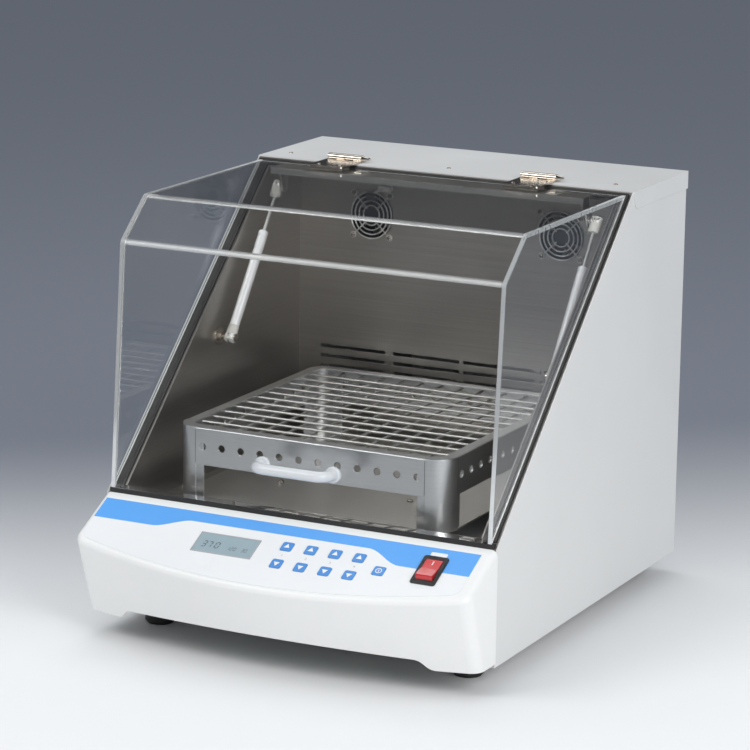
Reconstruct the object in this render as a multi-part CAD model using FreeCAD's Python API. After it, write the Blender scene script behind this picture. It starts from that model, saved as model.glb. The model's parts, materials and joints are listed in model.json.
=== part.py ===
# Bench-top orbital shaking incubator with a clear lifting hood, in millimetres, +Z up.
# The front faces -Y, and the origin lies on the bench under the middle of the body.
import FreeCAD
import Part
import math
import os

V = FreeCAD.Vector
X_AXIS = V(1, 0, 0)
Y_AXIS = V(0, 1, 0)
Z_AXIS = V(0, 0, 1)
FAR = 1000.0

# Case
WIDTH = 500.0
DEPTH = 630.0
TOP_Z = 502.0
CASE_BOTTOM_Z = 25.0
CASE_FRONT_Y = -213.0
CASE_BACK_Y = DEPTH / 2
SHEET = 1.2
COVER_FRONT_Y = 148.0
COVER_LIP = 21.5
SIDE_FACE_X = WIDTH / 2 - SHEET
SIDE_INNER_X = SIDE_FACE_X - SHEET
REAR_FACE_Y = CASE_BACK_Y - SHEET
REAR_INNER_Y = REAR_FACE_Y - SHEET
SIDE_FLANGE = 12.0
PAN_Z = CASE_BOTTOM_Z + SHEET
PAN_SHEET = 1.5
PAN_TOP_Z = PAN_Z + PAN_SHEET
PAN_RIM = 14.0

# Slanted opening and its rim
SILL_Z = 160.0
SILL_BACK_Y = -188.0
RIM_SLOPE = 43.5
RIM_COS = math.cos(math.radians(RIM_SLOPE))
RIM_SIN = math.sin(math.radians(RIM_SLOPE))
GASKET_BASE = 2.6
GASKET_RIB = 4.0
GASKET_IN_X = 229.0
GASKET_OUT_X = 245.0

# Chamber
CHAMBER_X = 226.0
CHAMBER_BACK_Y = 214.0
FLOOR_Z = 139.0
CEILING_Z = 488.0
SLOT_LENGTH = 93.0
SLOT_HEIGHT = 4.5
SLOT_PITCH_X = 99.0
SLOT_PITCH_Z = 12.5
SLOT_TOP_Z = 256.0
SLOT_COLUMNS = 4
SLOT_ROWS = 3

# Fans
FAN_X = 126.0
FAN_Z = 425.0
FAN_SIZE = 60.0
FAN_DEPTH = 25.0
FAN_BORE_R = 28.5
FAN_HUB_R = 15.0
FAN_TIP_R = 27.5
FAN_BLADES = 7
FAN_SHAFT_R = 1.5
FAN_HOLE = 25.0
GUARD_WIRE_R = 0.9
GUARD_RADII = (11.0, 17.0, 22.5, 27.5)
SENSOR_X = -106.0
SENSOR_Z = 459.0

# Hood
HOOD_SHEET = 5.0
HOOD_OUT_X = 243.0
HOOD_IN_X = HOOD_OUT_X - HOOD_SHEET
HOOD_SEAT = GASKET_RIB + 0.3
HOOD_BOTTOM = (-214.0, 166.0)
HOOD_LOWER_BEND = (-191.0, 452.0)
HOOD_UPPER_BEND = (-138.0, 498.5)
HOOD_TOP_Z = HOOD_UPPER_BEND[1]
BEND_OUT_R = 10.0
BEND_IN_R = BEND_OUT_R - HOOD_SHEET
STIFFENER_X = 206.0
STIFFENER_FRONT_Y = 98.5
STIFFENER_BACK_Y = 130.0
STIFFENER_SHEET = 1.5
STIFFENER_LIP = 7.5
HANDLE_HALF = 45.0
HANDLE_RISE = 52.0
HANDLE_REACH = 25.0
HANDLE_R = 6.2
HANDLE_BEND = 13.0
HANDLE_FOOT_R = 9.5

# Hinges
HINGE_Y = 163.0
HINGE_Z = 506.6
HINGE_X = (-137.0, 121.0)
HINGE_LENGTH = 46.0
KNUCKLES = 4
KNUCKLE_GAP = 0.4
KNUCKLE_R = 4.2
HINGE_PIN_R = 2.0
HINGE_FIT = 0.05
LEAF = 1.8
LEAF_BACK_Y = 188.0
LEAF_FRONT_Y = 108.0

# Gas struts
STRUT_X = 209.0
STRUT_LOW = (8.0, 304.6)
STRUT_HIGH = (123.5, 466.5)
STRUT_TUBE_R = 6.0
STRUT_BORE_R = 4.9
STRUT_ROD_R = 2.0
STRUT_GROOVES = (9.0, 26.0)
STRUT_GROOVE = 2.4
STRUT_TUBE_END = 140.0
STRUT_ROD_START = 54.0
STRUT_SOCKET_R = 6.6
STRUT_STUD_R = 3.0
STRUT_FIT = 0.06
SOCKET_HALF = 5.0
STUD_GAP = 0.5
BRACKET = 2.0

# Orbiting rack
RACK_SIZE = 350.0
RACK_TOP_Z = 240.0
RACK_BASE_Z = 155.0
RACK_SHEET = 2.0
RACK_CORNER_R = 28.0
RAIL_HEIGHT = 44.0
RAIL_FLANGE = 14.0
RAIL_HOLES = 12
RAIL_HOLE_R = 4.4
RAIL_PITCH = 25.0
POST_WING = 10.0
WIRES = 11
WIRE_PITCH = 27.0
WIRE_R = 1.5

# Orbital drive
ORBIT_R = 10.0
RACK_X = -6.5
RACK_Y = 2.5
CRANK_DX = RACK_X
CRANK_DY = -math.sqrt(ORBIT_R ** 2 - CRANK_DX ** 2)
DRIVE_Y = RACK_Y - CRANK_DY
SHAFT_R = 8.5
PIN_R = 6.0
RUNNING_FIT = 0.05
CRANK_DISC_R = 30.0
CRANK_FLANGE_R = 40.0
CRANK_LOW_Z = 120.0
CRANK_STEP_Z = 124.0
CRANK_TOP_Z = 142.0
SPIDER_LOW_Z = 147.0
SPIDER_HALF = 125.0
PLATE_LOW_Z = 108.0
PLATE_TOP_Z = 112.0
PLATE_X = 160.0
PLATE_FRONT_Y = -130.0
PLATE_BACK_Y = 240.0
STANDOFF_R = 8.0
IDLER_REACH = 118.0
IDLER_ANGLES = (90.0, 210.0, 330.0)
IDLER_JOURNAL_R = 5.0
IDLER_PIN_R = 4.0
IDLER_OPEN_FIT = 0.4
IDLER_WEB_LOW_Z = 128.5
IDLER_WEB_TOP_Z = 135.0
IDLER_BOSS_R = 12.0
IDLER_BOSS_LOW_Z = 94.0
PULLEY_LOW_Z = 42.0
PULLEY_TOP_Z = 56.0
PULLEY_R = 70.0
MOTOR_PULLEY_R = 22.0
BELT_GAP = 0.3
BELT = 3.0
MOTOR_Y = 185.0
MOTOR_R = 39.0
MOTOR_LOW_Z = 62.0
MOTOR_SHAFT_R = 4.0

# Sloped control face and fascia
PANEL_SLOPE = 27.2
PANEL_COS = math.cos(math.radians(PANEL_SLOPE))
PANEL_TAN = math.tan(math.radians(PANEL_SLOPE))
FASCIA_BROW_R = 7.0
BROW_TRIM = 0.23 * FASCIA_BROW_R
BROW_END_Y = -286.0
BROW_MID_Y = -DEPTH / 2 - BROW_TRIM
FASCIA_RAKE = 0.345
FASCIA_BOTTOM_Z = 30.0
FASCIA_WALL = 3.0
FASCIA_CORNER_R = 16.0
ARCH_X = 204.0
ARCH_SHOULDER_X = 178.0
ARCH_SHOULDER_Z = 42.0
ARCH_MID_Z = 46.0
OVERLAY = 0.5
OVERLAY_LEFT_X = -243.0
OVERLAY_RIGHT_X = 235.0
OVERLAY_TOP = 10.7
OVERLAY_BROW_GAP = 6.0
OVERLAY_CORNER_R = 14.0
KEY_SIZE = 14.0
KEY_GAP = 0.3
KEY_PROUD = 1.3
KEY_DEEP = 2.0
KEY_CORNER_R = 2.5
KEY_X = (10.0, 40.0, 70.5, 100.5)
KEY_UP_DOWN_SLOPE = (44.5, 73.0)
START_X = 131.3
START_SLOPE = 59.6
LCD_X = (-101.0, -24.0)
LCD_SLOPE = (41.0, 73.0)
LCD_GAP = 0.2
SWITCH_X = 188.0
SWITCH_SLOPE = 47.3
SWITCH_WIDE = 30.0
SWITCH_LONG = 45.0
SWITCH_PROUD = 2.6
SWITCH_DEEP = 22.0
ROCKER_WIDE = 20.0
ROCKER_R = 17.0
ROCKER_GAP = 0.4
ROCKER_TILT = -9.0
ROCKER_PIVOT = -3.0

# Rear and inner equipment
INLET_X = -185.0
INLET_Z = 70.0
INLET_WIDE = 48.0
INLET_HIGH = 27.0
VENT_LENGTH = 70.0
VENT_HEIGHT = 5.0
VENT_PITCH = 11.0
FOOT_X = 199.5
FOOT_Y = (-176.0, 268.0)
FOOT_R = 18.5

PANEL = FreeCAD.Placement(V(0, CASE_FRONT_Y, SILL_Z), FreeCAD.Rotation(X_AXIS, PANEL_SLOPE))
RIM = FreeCAD.Placement(V(0, CASE_FRONT_Y, SILL_Z), FreeCAD.Rotation(X_AXIS, RIM_SLOPE))


def box(x0, x1, y0, y1, z0, z1):
    return Part.makeBox(x1 - x0, y1 - y0, z1 - z0, V(x0, y0, z0))


def prism(points, direction):
    wire = Part.makePolygon(points + points[:1])
    return Part.Face(wire).extrude(direction)


def yz_prism(outline, x0, x1):
    return prism([V(x0, y, z) for y, z in outline], V(x1 - x0, 0, 0))


def fuse(*shapes):
    return shapes[0].fuse(list(shapes[1:])).removeSplitter()


def cut(shape, tools):
    return shape.cut(tools).removeSplitter()


def placed(shape, placement):
    copy = shape.copy()
    copy.Placement = placement.multiply(copy.Placement)
    return copy


def mirrored(shape):
    return shape.mirror(V(0, 0, 0), X_AXIS)


def both_sides(shape):
    return Part.makeCompound([shape, mirrored(shape)])


def drum(radius, z0, z1, x=0.0, y=0.0):
    return Part.makeCylinder(radius, z1 - z0, V(x, y, z0), Z_AXIS)


def rounded(shape, radius, wanted):
    return shape.makeFillet(radius, [edge for edge in shape.Edges if wanted(edge)])


def along(edge, axis):
    ends = edge.Vertexes
    if len(ends) < 2:
        return False
    run = ends[1].Point.sub(ends[0].Point)
    return run.Length > 0 and run.getAngle(axis) % math.pi < 0.02


def pad(x, y, wide, long, corner, z0, z1):
    block = box(x - wide / 2, x + wide / 2, y - long / 2, y + long / 2, z0, z1)
    return rounded(block, corner, lambda edge: along(edge, Z_AXIS))


def rim_y(z, lift=0.0):
    return CASE_FRONT_Y + (z - SILL_Z - lift / RIM_COS) * RIM_COS / RIM_SIN


def above_rim(lift):
    return placed(box(-FAR, FAR, -FAR, FAR, lift, FAR), RIM)


# Case

def side_panel():
    top = TOP_Z - SHEET
    outline = [
        (CASE_FRONT_Y, CASE_BOTTOM_Z),
        (REAR_INNER_Y, CASE_BOTTOM_Z),
        (REAR_INNER_Y, top),
        (rim_y(top), top),
        (CASE_FRONT_Y, SILL_Z),
    ]
    skin = yz_prism(outline, SIDE_INNER_X, SIDE_FACE_X)
    inner = SIDE_INNER_X - SIDE_FLANGE
    foot = box(inner, SIDE_INNER_X, CASE_FRONT_Y, REAR_INNER_Y, CASE_BOTTOM_Z, PAN_Z)
    back = box(inner, SIDE_INNER_X, REAR_INNER_Y - SHEET, REAR_INNER_Y, PAN_TOP_Z + PAN_RIM, top)
    return fuse(skin, foot, back)


def cover_lip():
    low = TOP_Z - COVER_LIP
    front = COVER_FRONT_Y
    corner = Part.Arc(V(SIDE_FACE_X, front, TOP_Z - 4), V(SIDE_FACE_X, front + 2.6, low + 6),
                      V(SIDE_FACE_X, front + 9, low)).toShape()
    rest = Part.makePolygon([V(SIDE_FACE_X, front + 9, low), V(SIDE_FACE_X, CASE_BACK_Y, low),
                             V(SIDE_FACE_X, CASE_BACK_Y, TOP_Z), V(SIDE_FACE_X, front, TOP_Z),
                             V(SIDE_FACE_X, front, TOP_Z - 4)])
    outline = Part.Wire([corner] + rest.Edges)
    return Part.Face(outline).extrude(V(SHEET, 0, 0))


def top_cover():
    plate = box(-WIDTH / 2, WIDTH / 2, COVER_FRONT_Y, CASE_BACK_Y, TOP_Z - SHEET, TOP_Z)
    front = box(-SIDE_INNER_X, SIDE_INNER_X, COVER_FRONT_Y, COVER_FRONT_Y + SHEET, TOP_Z - 6, TOP_Z)
    back = box(-SIDE_FACE_X, SIDE_FACE_X, REAR_FACE_Y, CASE_BACK_Y, TOP_Z - 14, TOP_Z)
    lip = cover_lip()
    return fuse(plate, front, back, lip, mirrored(lip))


def rear_vents():
    slots = []
    for column in (-1.5, -0.5, 0.5, 1.5):
        for row in range(5):
            x = column * (VENT_LENGTH + 14)
            z = 330 + row * VENT_PITCH
            slot = box(x - VENT_LENGTH / 2, x + VENT_LENGTH / 2, REAR_INNER_Y - 1, REAR_FACE_Y + 1,
                       z, z + VENT_HEIGHT)
            slots.append(rounded(slot, VENT_HEIGHT / 2 - 0.1, lambda edge: along(edge, Y_AXIS)))
    return slots


def rear_panel():
    plate = box(-SIDE_INNER_X, SIDE_INNER_X, REAR_INNER_Y, REAR_FACE_Y, CASE_BOTTOM_Z, TOP_Z - SHEET)
    window = box(INLET_X - INLET_WIDE / 2 + 4, INLET_X + INLET_WIDE / 2 - 4, REAR_INNER_Y - 1,
                 REAR_FACE_Y + 1, INLET_Z - INLET_HIGH / 2 + 2, INLET_Z + INLET_HIGH / 2 - 2)
    return cut(plate, rear_vents() + [window])


def standoff_places():
    inset = 25.0
    return [(x, y) for x in (-PLATE_X + inset, PLATE_X - inset)
            for y in (PLATE_FRONT_Y + inset, PLATE_BACK_Y - inset)]


def base_pan():
    front = CASE_FRONT_Y + SHEET
    back = REAR_INNER_Y - SHEET
    tray = box(-SIDE_INNER_X, SIDE_INNER_X, front, back, PAN_Z, PAN_TOP_Z + PAN_RIM)
    well = box(-SIDE_INNER_X + PAN_SHEET, SIDE_INNER_X - PAN_SHEET, front + PAN_SHEET, back - PAN_SHEET,
               PAN_TOP_Z, PAN_TOP_Z + PAN_RIM + 1)
    posts = [drum(STANDOFF_R, PAN_TOP_Z, PLATE_LOW_Z, x, y) for x, y in standoff_places()]
    return fuse(cut(tray, [well]), *posts)


def rubber_foot(x, y):
    outline = [V(0, 0, 0), V(FOOT_R - 3, 0, 0), V(FOOT_R, 0, 4), V(FOOT_R - 2, 0, PAN_Z - 8),
               V(FOOT_R - 5, 0, CASE_BOTTOM_Z - 0.2), V(0, 0, CASE_BOTTOM_Z - 0.2)]
    body = Part.Face(Part.makePolygon(outline + outline[:1])).revolve(V(0, 0, 0), Z_AXIS, 360)
    neck = drum(FOOT_R - 8, CASE_BOTTOM_Z - 0.2, PAN_Z)
    return placed(fuse(body, neck), FreeCAD.Placement(V(x, y, 0), FreeCAD.Rotation()))


def rubber_feet():
    return Part.makeCompound([rubber_foot(x, y) for x in (-FOOT_X, FOOT_X) for y in FOOT_Y])


# Chamber

def back_wall():
    wall = box(-CHAMBER_X - SHEET, CHAMBER_X + SHEET, CHAMBER_BACK_Y, CHAMBER_BACK_Y + SHEET,
               FLOOR_Z - SHEET, CEILING_Z + SHEET)
    holes = [Part.makeCylinder(FAN_BORE_R, 4, V(x, CHAMBER_BACK_Y - 1, FAN_Z), Y_AXIS)
             for x in (-FAN_X, FAN_X)]
    for column in range(SLOT_COLUMNS):
        x = (column - (SLOT_COLUMNS - 1) / 2) * SLOT_PITCH_X
        for row in range(SLOT_ROWS):
            z = SLOT_TOP_Z - row * SLOT_PITCH_Z
            holes.append(box(x - SLOT_LENGTH / 2, x + SLOT_LENGTH / 2, CHAMBER_BACK_Y - 1,
                             CHAMBER_BACK_Y + SHEET + 1, z - SLOT_HEIGHT / 2, z + SLOT_HEIGHT / 2))
    return wall.cut(holes)


def liner_floor():
    plate = box(-CHAMBER_X, CHAMBER_X, SILL_BACK_Y, CHAMBER_BACK_Y, FLOOR_Z - SHEET, FLOOR_Z)
    holes = [drum(CRANK_DISC_R + 3, 0, FAR, 0, DRIVE_Y)]
    holes += [drum(ORBIT_R + IDLER_PIN_R + 4, 0, FAR, x, y) for x, y in idler_places()]
    return plate.cut(holes)


def liner_side():
    riser_front_y = SILL_BACK_Y - SHEET
    outline = [
        (riser_front_y, FLOOR_Z - SHEET),
        (CHAMBER_BACK_Y, FLOOR_Z - SHEET),
        (CHAMBER_BACK_Y, CEILING_Z + SHEET),
        (rim_y(CEILING_Z + SHEET), CEILING_Z + SHEET),
        (CASE_FRONT_Y, SILL_Z),
        (CASE_FRONT_Y, SILL_Z - SHEET),
        (riser_front_y, SILL_Z - SHEET),
    ]
    return yz_prism(outline, CHAMBER_X, CHAMBER_X + SHEET)


def chamber_liner():
    ceiling = box(-CHAMBER_X, CHAMBER_X, 0, CHAMBER_BACK_Y, CEILING_Z, CEILING_Z + SHEET)
    riser = box(-CHAMBER_X, CHAMBER_X, SILL_BACK_Y - SHEET, SILL_BACK_Y, FLOOR_Z - SHEET, SILL_Z)
    sill = box(-CHAMBER_X, CHAMBER_X, CASE_FRONT_Y, SILL_BACK_Y, SILL_Z - SHEET, SILL_Z)
    side = liner_side().cut(above_rim(-SHEET))
    ceiling = ceiling.cut(above_rim(-SHEET))
    return fuse(liner_floor(), back_wall(), ceiling, riser, sill, side, mirrored(side))


def rim_flange():
    top = (TOP_Z - SHEET - SILL_Z) / RIM_SIN
    frame = box(-SIDE_INNER_X, SIDE_INNER_X, 0, top, -SHEET, 0)
    mouth = box(-CHAMBER_X, CHAMBER_X, -1, (CEILING_Z - SILL_Z) / RIM_SIN, -FAR, FAR)
    return placed(cut(frame, [mouth]), RIM)


def gasket_loop(inner_x, outer_x, top_in, top_out, height):
    start = 9.0
    block = box(-outer_x, outer_x, start, top_out, 0, height)
    return block.cut(box(-inner_x, inner_x, start - 1, top_in, -1, height + 1))


def rim_gasket():
    top_in = (CEILING_Z - SILL_Z) / RIM_SIN + 2.0
    base = gasket_loop(GASKET_IN_X, GASKET_OUT_X, top_in, top_in + 13, GASKET_BASE)
    inner_rib = gasket_loop(GASKET_IN_X + 3, GASKET_IN_X + 5.5, top_in + 2, top_in + 4.5, GASKET_RIB - 0.8)
    outer_rib = gasket_loop(GASKET_OUT_X - 6, GASKET_OUT_X - 3.5, top_in + 8, top_in + 10.5, GASKET_RIB)
    loop = placed(fuse(base, inner_rib, outer_rib), RIM)
    front = box(-CHAMBER_X, CHAMBER_X, CASE_FRONT_Y, CASE_FRONT_Y + 8, SILL_Z, HOOD_BOTTOM[1] - 0.4)
    groove = box(-CHAMBER_X, CHAMBER_X, CASE_FRONT_Y + 5.4, CASE_FRONT_Y + 8, SILL_Z + 3, FAR)
    end = box(CHAMBER_X, GASKET_OUT_X, CASE_FRONT_Y, CASE_FRONT_Y + 5.4, SILL_Z, HOOD_BOTTOM[1] - 0.4)
    ends = both_sides(end.common(above_rim(0)))
    return Part.makeCompound([loop, fuse(front.cut(groove), ends)])


def wall_insulation():
    gap = 0.4
    outline = [
        (CHAMBER_BACK_Y, FLOOR_Z),
        (CHAMBER_BACK_Y, CEILING_Z),
        (rim_y(CEILING_Z), CEILING_Z),
        (CASE_FRONT_Y + 6, SILL_Z),
        (CASE_FRONT_Y + 6, FLOOR_Z),
    ]
    slab = yz_prism(outline, CHAMBER_X + SHEET + gap, SIDE_INNER_X - gap).cut(above_rim(-SHEET - gap))
    return both_sides(slab)


# Fans and heater

def fan_frame(x):
    half = FAN_SIZE / 2
    front = CHAMBER_BACK_Y + SHEET
    back = front + FAN_DEPTH
    body = box(x - half, x + half, front, back, FAN_Z - half, FAN_Z + half)
    body = rounded(body, 4, lambda edge: along(edge, Y_AXIS))
    body = body.cut(Part.makeCylinder(FAN_BORE_R, FAN_DEPTH, V(x, front, FAN_Z), Y_AXIS))
    arms = [box(x - FAN_BORE_R - 1, x + FAN_BORE_R + 1, back - 2, back, FAN_Z - 2, FAN_Z + 2),
            box(x - 2, x + 2, back - 2, back, FAN_Z - FAN_BORE_R - 1, FAN_Z + FAN_BORE_R + 1)]
    mount = Part.makeCylinder(FAN_HUB_R, 3, V(x, back - 3, FAN_Z), Y_AXIS)
    shaft = Part.makeCylinder(FAN_SHAFT_R, FAN_DEPTH - 6.5, V(x, front + 6.5, FAN_Z), Y_AXIS)
    return fuse(body, mount, shaft, *arms)


def fan_frames():
    return Part.makeCompound([fan_frame(-FAN_X), fan_frame(FAN_X)])


def fan_blade():
    section = []
    for radius, pitch in ((FAN_HUB_R - 1, 50), (FAN_TIP_R, 28)):
        chord = 12.0
        rise = chord / 2 * math.sin(math.radians(pitch))
        run = chord / 2 * math.cos(math.radians(pitch))
        thick = 0.6
        corners = [V(run - thick, -rise, radius), V(run + thick, -rise, radius),
                   V(-run + thick, rise, radius), V(-run - thick, rise, radius)]
        section.append(Part.makePolygon(corners + corners[:1]))
    return Part.makeLoft(section, True, True)


def fan_rotor(x):
    depth = 16.0
    hub = Part.makeCylinder(FAN_HUB_R, depth, V(0, -depth / 2, 0), Y_AXIS)
    hub = rounded(hub, 2, lambda edge: edge.BoundBox.YMax < 0 and len(edge.Vertexes) == 1)
    blades = []
    for step in range(FAN_BLADES):
        blade = fan_blade()
        blade.rotate(V(0, 0, 0), Y_AXIS, step * 360 / FAN_BLADES)
        blades.append(blade)
    rotor = fuse(hub, *blades)
    bore = Part.makeCylinder(FAN_SHAFT_R + RUNNING_FIT, depth + 2, V(0, -depth / 2 + 3, 0), Y_AXIS)
    middle = V(x, CHAMBER_BACK_Y + SHEET + 3 + depth / 2, FAN_Z)
    return placed(rotor.cut(bore), FreeCAD.Placement(middle, FreeCAD.Rotation()))


def fan_guard(x):
    spoke_y = -GUARD_WIRE_R
    ring_y = -2.4 * GUARD_WIRE_R
    guard = Part.makeTorus(GUARD_RADII[0], GUARD_WIRE_R, V(0, ring_y, 0), Y_AXIS)
    reach = FAN_HOLE * math.sqrt(2)
    for step in range(4):
        angle = math.radians(45 + 90 * step)
        out = V(math.cos(angle), 0, math.sin(angle))
        start = V(0, spoke_y, 0) + out * (GUARD_RADII[0] - 2)
        spoke = Part.makeCylinder(GUARD_WIRE_R, reach - GUARD_RADII[0], start, out)
        eye = Part.makeCylinder(4, 2 * GUARD_WIRE_R, out * reach, V(0, -1, 0))
        guard = guard.fuse([spoke, eye])
    for radius in GUARD_RADII[1:]:
        guard = guard.fuse(Part.makeTorus(radius, GUARD_WIRE_R, V(0, ring_y, 0), Y_AXIS))
    return placed(guard, FreeCAD.Placement(V(x, CHAMBER_BACK_Y, FAN_Z), FreeCAD.Rotation()))


def fan_guards():
    return Part.makeCompound([fan_guard(-FAN_X), fan_guard(FAN_X)])


def sensor_cap():
    deep = 9.0
    block = box(SENSOR_X - 8.5, SENSOR_X + 8.5, CHAMBER_BACK_Y - deep, CHAMBER_BACK_Y, SENSOR_Z - 3.5,
                SENSOR_Z + 3.5)
    block = rounded(block, 2.5, lambda edge: along(edge, Y_AXIS))
    probe = Part.makeCylinder(1.6, 22, V(SENSOR_X, CHAMBER_BACK_Y - deep - 22, SENSOR_Z), Y_AXIS)
    return fuse(block, probe)


def heater_element():
    tube_r = 4.0
    bend_r = 18.0
    runs = 4
    half = 150.0
    y = 262.0
    low_z = 225.0
    pieces = []
    for row in range(runs):
        z = low_z + row * 2 * bend_r
        pieces.append(Part.makeCylinder(tube_r, 2 * half, V(-half, y, z), X_AXIS))
        if row < runs - 1:
            side = 1 if row % 2 == 0 else -1
            bend = Part.makeTorus(bend_r, tube_r, V(side * half, y, z + bend_r), Y_AXIS)
            outer = side * (half + 2 * bend_r)
            pieces.append(bend.common(box(min(side * half, outer), max(side * half, outer), 0, FAR, 0, FAR)))
    span = (runs - 1) * 2 * bend_r
    straps = [box(x - 6, x + 6, CHAMBER_BACK_Y + SHEET, y + tube_r + 2, low_z - 10, low_z + span + 10)
              for x in (-100, 100)]
    return fuse(*pieces, *straps)


# Hood

def inset_path(points, distance):
    lines = []
    for (y0, z0), (y1, z1) in zip(points, points[1:]):
        length = math.hypot(y1 - y0, z1 - z0)
        shift = ((z1 - z0) / length * distance, -(y1 - y0) / length * distance)
        lines.append((y0 + shift[0], z0 + shift[1], (y1 - y0) / length, (z1 - z0) / length))
    inner = [lines[0][:2]]
    for (ay, az, ady, adz), (by, bz, bdy, bdz) in zip(lines, lines[1:]):
        step = ((by - ay) * bdz - (bz - az) * bdy) / (ady * bdz - adz * bdy)
        inner.append((ay + ady * step, az + adz * step))
    end = lines[-1]
    length = math.dist(points[-2], points[-1])
    return inner + [(end[0] + end[2] * length, end[1] + end[3] * length)]


def near_line(edge, point):
    middle = edge.CenterOfMass
    return along(edge, X_AXIS) and math.hypot(middle.y - point[0], middle.z - point[1]) < 0.5


def hood_outline():
    return [HOOD_BOTTOM, HOOD_LOWER_BEND, HOOD_UPPER_BEND, (COVER_FRONT_Y, HOOD_TOP_Z)]


def hood_shell():
    outer = hood_outline()
    inner = inset_path(outer, HOOD_SHEET)
    inner[0] = (inner[0][0], HOOD_BOTTOM[1])
    sheet = yz_prism(outer + inner[::-1], -HOOD_IN_X, HOOD_IN_X)
    for bend in (1, 2):
        sheet = rounded(sheet, BEND_OUT_R, lambda edge: near_line(edge, outer[bend]))
        sheet = rounded(sheet, BEND_IN_R, lambda edge: near_line(edge, inner[bend]))
    keep = above_rim(HOOD_SEAT).fuse(box(-FAR, FAR, -FAR, CASE_FRONT_Y + 8, 0, FAR))
    return sheet.common(keep)


def hood_side():
    outline = hood_outline() + [(CASE_FRONT_Y, HOOD_BOTTOM[1])]
    panel = yz_prism(outline, HOOD_IN_X, HOOD_OUT_X)
    for bend in (HOOD_LOWER_BEND, HOOD_UPPER_BEND):
        panel = rounded(panel, BEND_OUT_R, lambda edge: near_line(edge, bend))
    return panel.common(above_rim(HOOD_SEAT))


def hood_sides():
    return both_sides(hood_side())


def strut_arm():
    y, z = STRUT_HIGH
    top = HOOD_TOP_Z - HOOD_SHEET
    inner = STRUT_X - SOCKET_HALF - STUD_GAP - 3 - BRACKET
    outline = [(y - 18, top), (y + 5, top), (y + 7, z), (y - 7, z)]
    plate = yz_prism(outline, inner, inner + BRACKET)
    boss = Part.makeCylinder(7, BRACKET, V(inner, y, z), X_AXIS)
    stud = Part.makeCylinder(STRUT_STUD_R + 1, 3, V(inner + BRACKET, y, z), X_AXIS)
    return fuse(plate, boss, stud)


def lid_stiffener():
    top = HOOD_TOP_Z - HOOD_SHEET
    low = top - STIFFENER_LIP
    plate = box(-STIFFENER_X, STIFFENER_X, STIFFENER_FRONT_Y, STIFFENER_BACK_Y, top - STIFFENER_SHEET, top)
    front = box(-STIFFENER_X, STIFFENER_X, STIFFENER_FRONT_Y, STIFFENER_FRONT_Y + STIFFENER_SHEET, low, top)
    arm = strut_arm()
    return fuse(plate, front, arm, mirrored(arm))


def bar_along(points, radius):
    path = Part.Wire([Part.Arc(*run).toShape() if len(run) == 3 else Part.makeLine(*run) for run in points])
    start = points[0][0]
    heading = points[0][1].sub(start)
    ring = Part.Wire(Part.makeCircle(radius, start, heading))
    return path.makePipeShell([ring], True, False)


def lid_handle():
    half = HANDLE_HALF
    reach = -HANDLE_REACH
    bend = HANDLE_BEND
    nip = bend * (1 - math.sqrt(0.5))
    runs = [
        (V(-half, -2, 0), V(-half, reach + bend, 0)),
        (V(-half, reach + bend, 0), V(-half + nip, reach + nip, 0), V(-half + bend, reach, 0)),
        (V(-half + bend, reach, 0), V(half - bend, reach, 0)),
        (V(half - bend, reach, 0), V(half - nip, reach + nip, 0), V(half, reach + bend, 0)),
        (V(half, reach + bend, 0), V(half, -2, 0)),
    ]
    bar = bar_along(runs, HANDLE_R)
    feet = [rounded(Part.makeCylinder(HANDLE_FOOT_R, 5, V(x, 0, 0), V(0, -1, 0)), 2,
                    lambda edge: edge.BoundBox.YMax < -4) for x in (-half, half)]
    lean = math.degrees(math.atan2(HOOD_LOWER_BEND[0] - HOOD_BOTTOM[0], HOOD_LOWER_BEND[1] - HOOD_BOTTOM[1]))
    turn = FreeCAD.Rotation(X_AXIS, -lean)
    origin = V(0, *HOOD_BOTTOM) + turn.multVec(V(0, 0, HANDLE_RISE))
    return placed(fuse(bar, *feet), FreeCAD.Placement(origin, turn))


# Hinges

def knuckle(x, order, fixed):
    step = HINGE_LENGTH / KNUCKLES
    start = x - HINGE_LENGTH / 2 + order * step + KNUCKLE_GAP / 2
    length = step - KNUCKLE_GAP
    barrel = Part.makeCylinder(KNUCKLE_R, length, V(start, HINGE_Y, HINGE_Z), X_AXIS)
    leaf_z = TOP_Z + 0.3
    if fixed:
        leaf = box(start, start + length, HINGE_Y, HINGE_Y + KNUCKLE_R + 1, TOP_Z, TOP_Z + LEAF)
    else:
        leaf = box(start, start + length, HINGE_Y - KNUCKLE_R - 1, HINGE_Y, leaf_z, leaf_z + LEAF)
    return fuse(barrel, leaf)


def hinge_cover_leaf(x):
    knuckles = [knuckle(x, order, True) for order in range(0, KNUCKLES, 2)]
    half = HINGE_LENGTH / 2
    leaf = box(x - half, x + half, HINGE_Y + KNUCKLE_R + 0.6, LEAF_BACK_Y, TOP_Z, TOP_Z + LEAF)
    leaf = rounded(leaf, 5, lambda edge: along(edge, Z_AXIS) and edge.CenterOfMass.y > LEAF_BACK_Y - 1)
    bore = Part.makeCylinder(HINGE_PIN_R, FAR, V(x - FAR / 2, HINGE_Y, HINGE_Z), X_AXIS)
    pin = Part.makeCylinder(HINGE_PIN_R, HINGE_LENGTH, V(x - half, HINGE_Y, HINGE_Z), X_AXIS)
    tip = Part.makeCone(KNUCKLE_R - 0.4, 0.8, 9, V(x + half, HINGE_Y, HINGE_Z), X_AXIS)
    return fuse(fuse(leaf, *knuckles).cut(bore), pin, tip)


def hinge_cover_leaves():
    return Part.makeCompound([hinge_cover_leaf(x) for x in HINGE_X])


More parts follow.
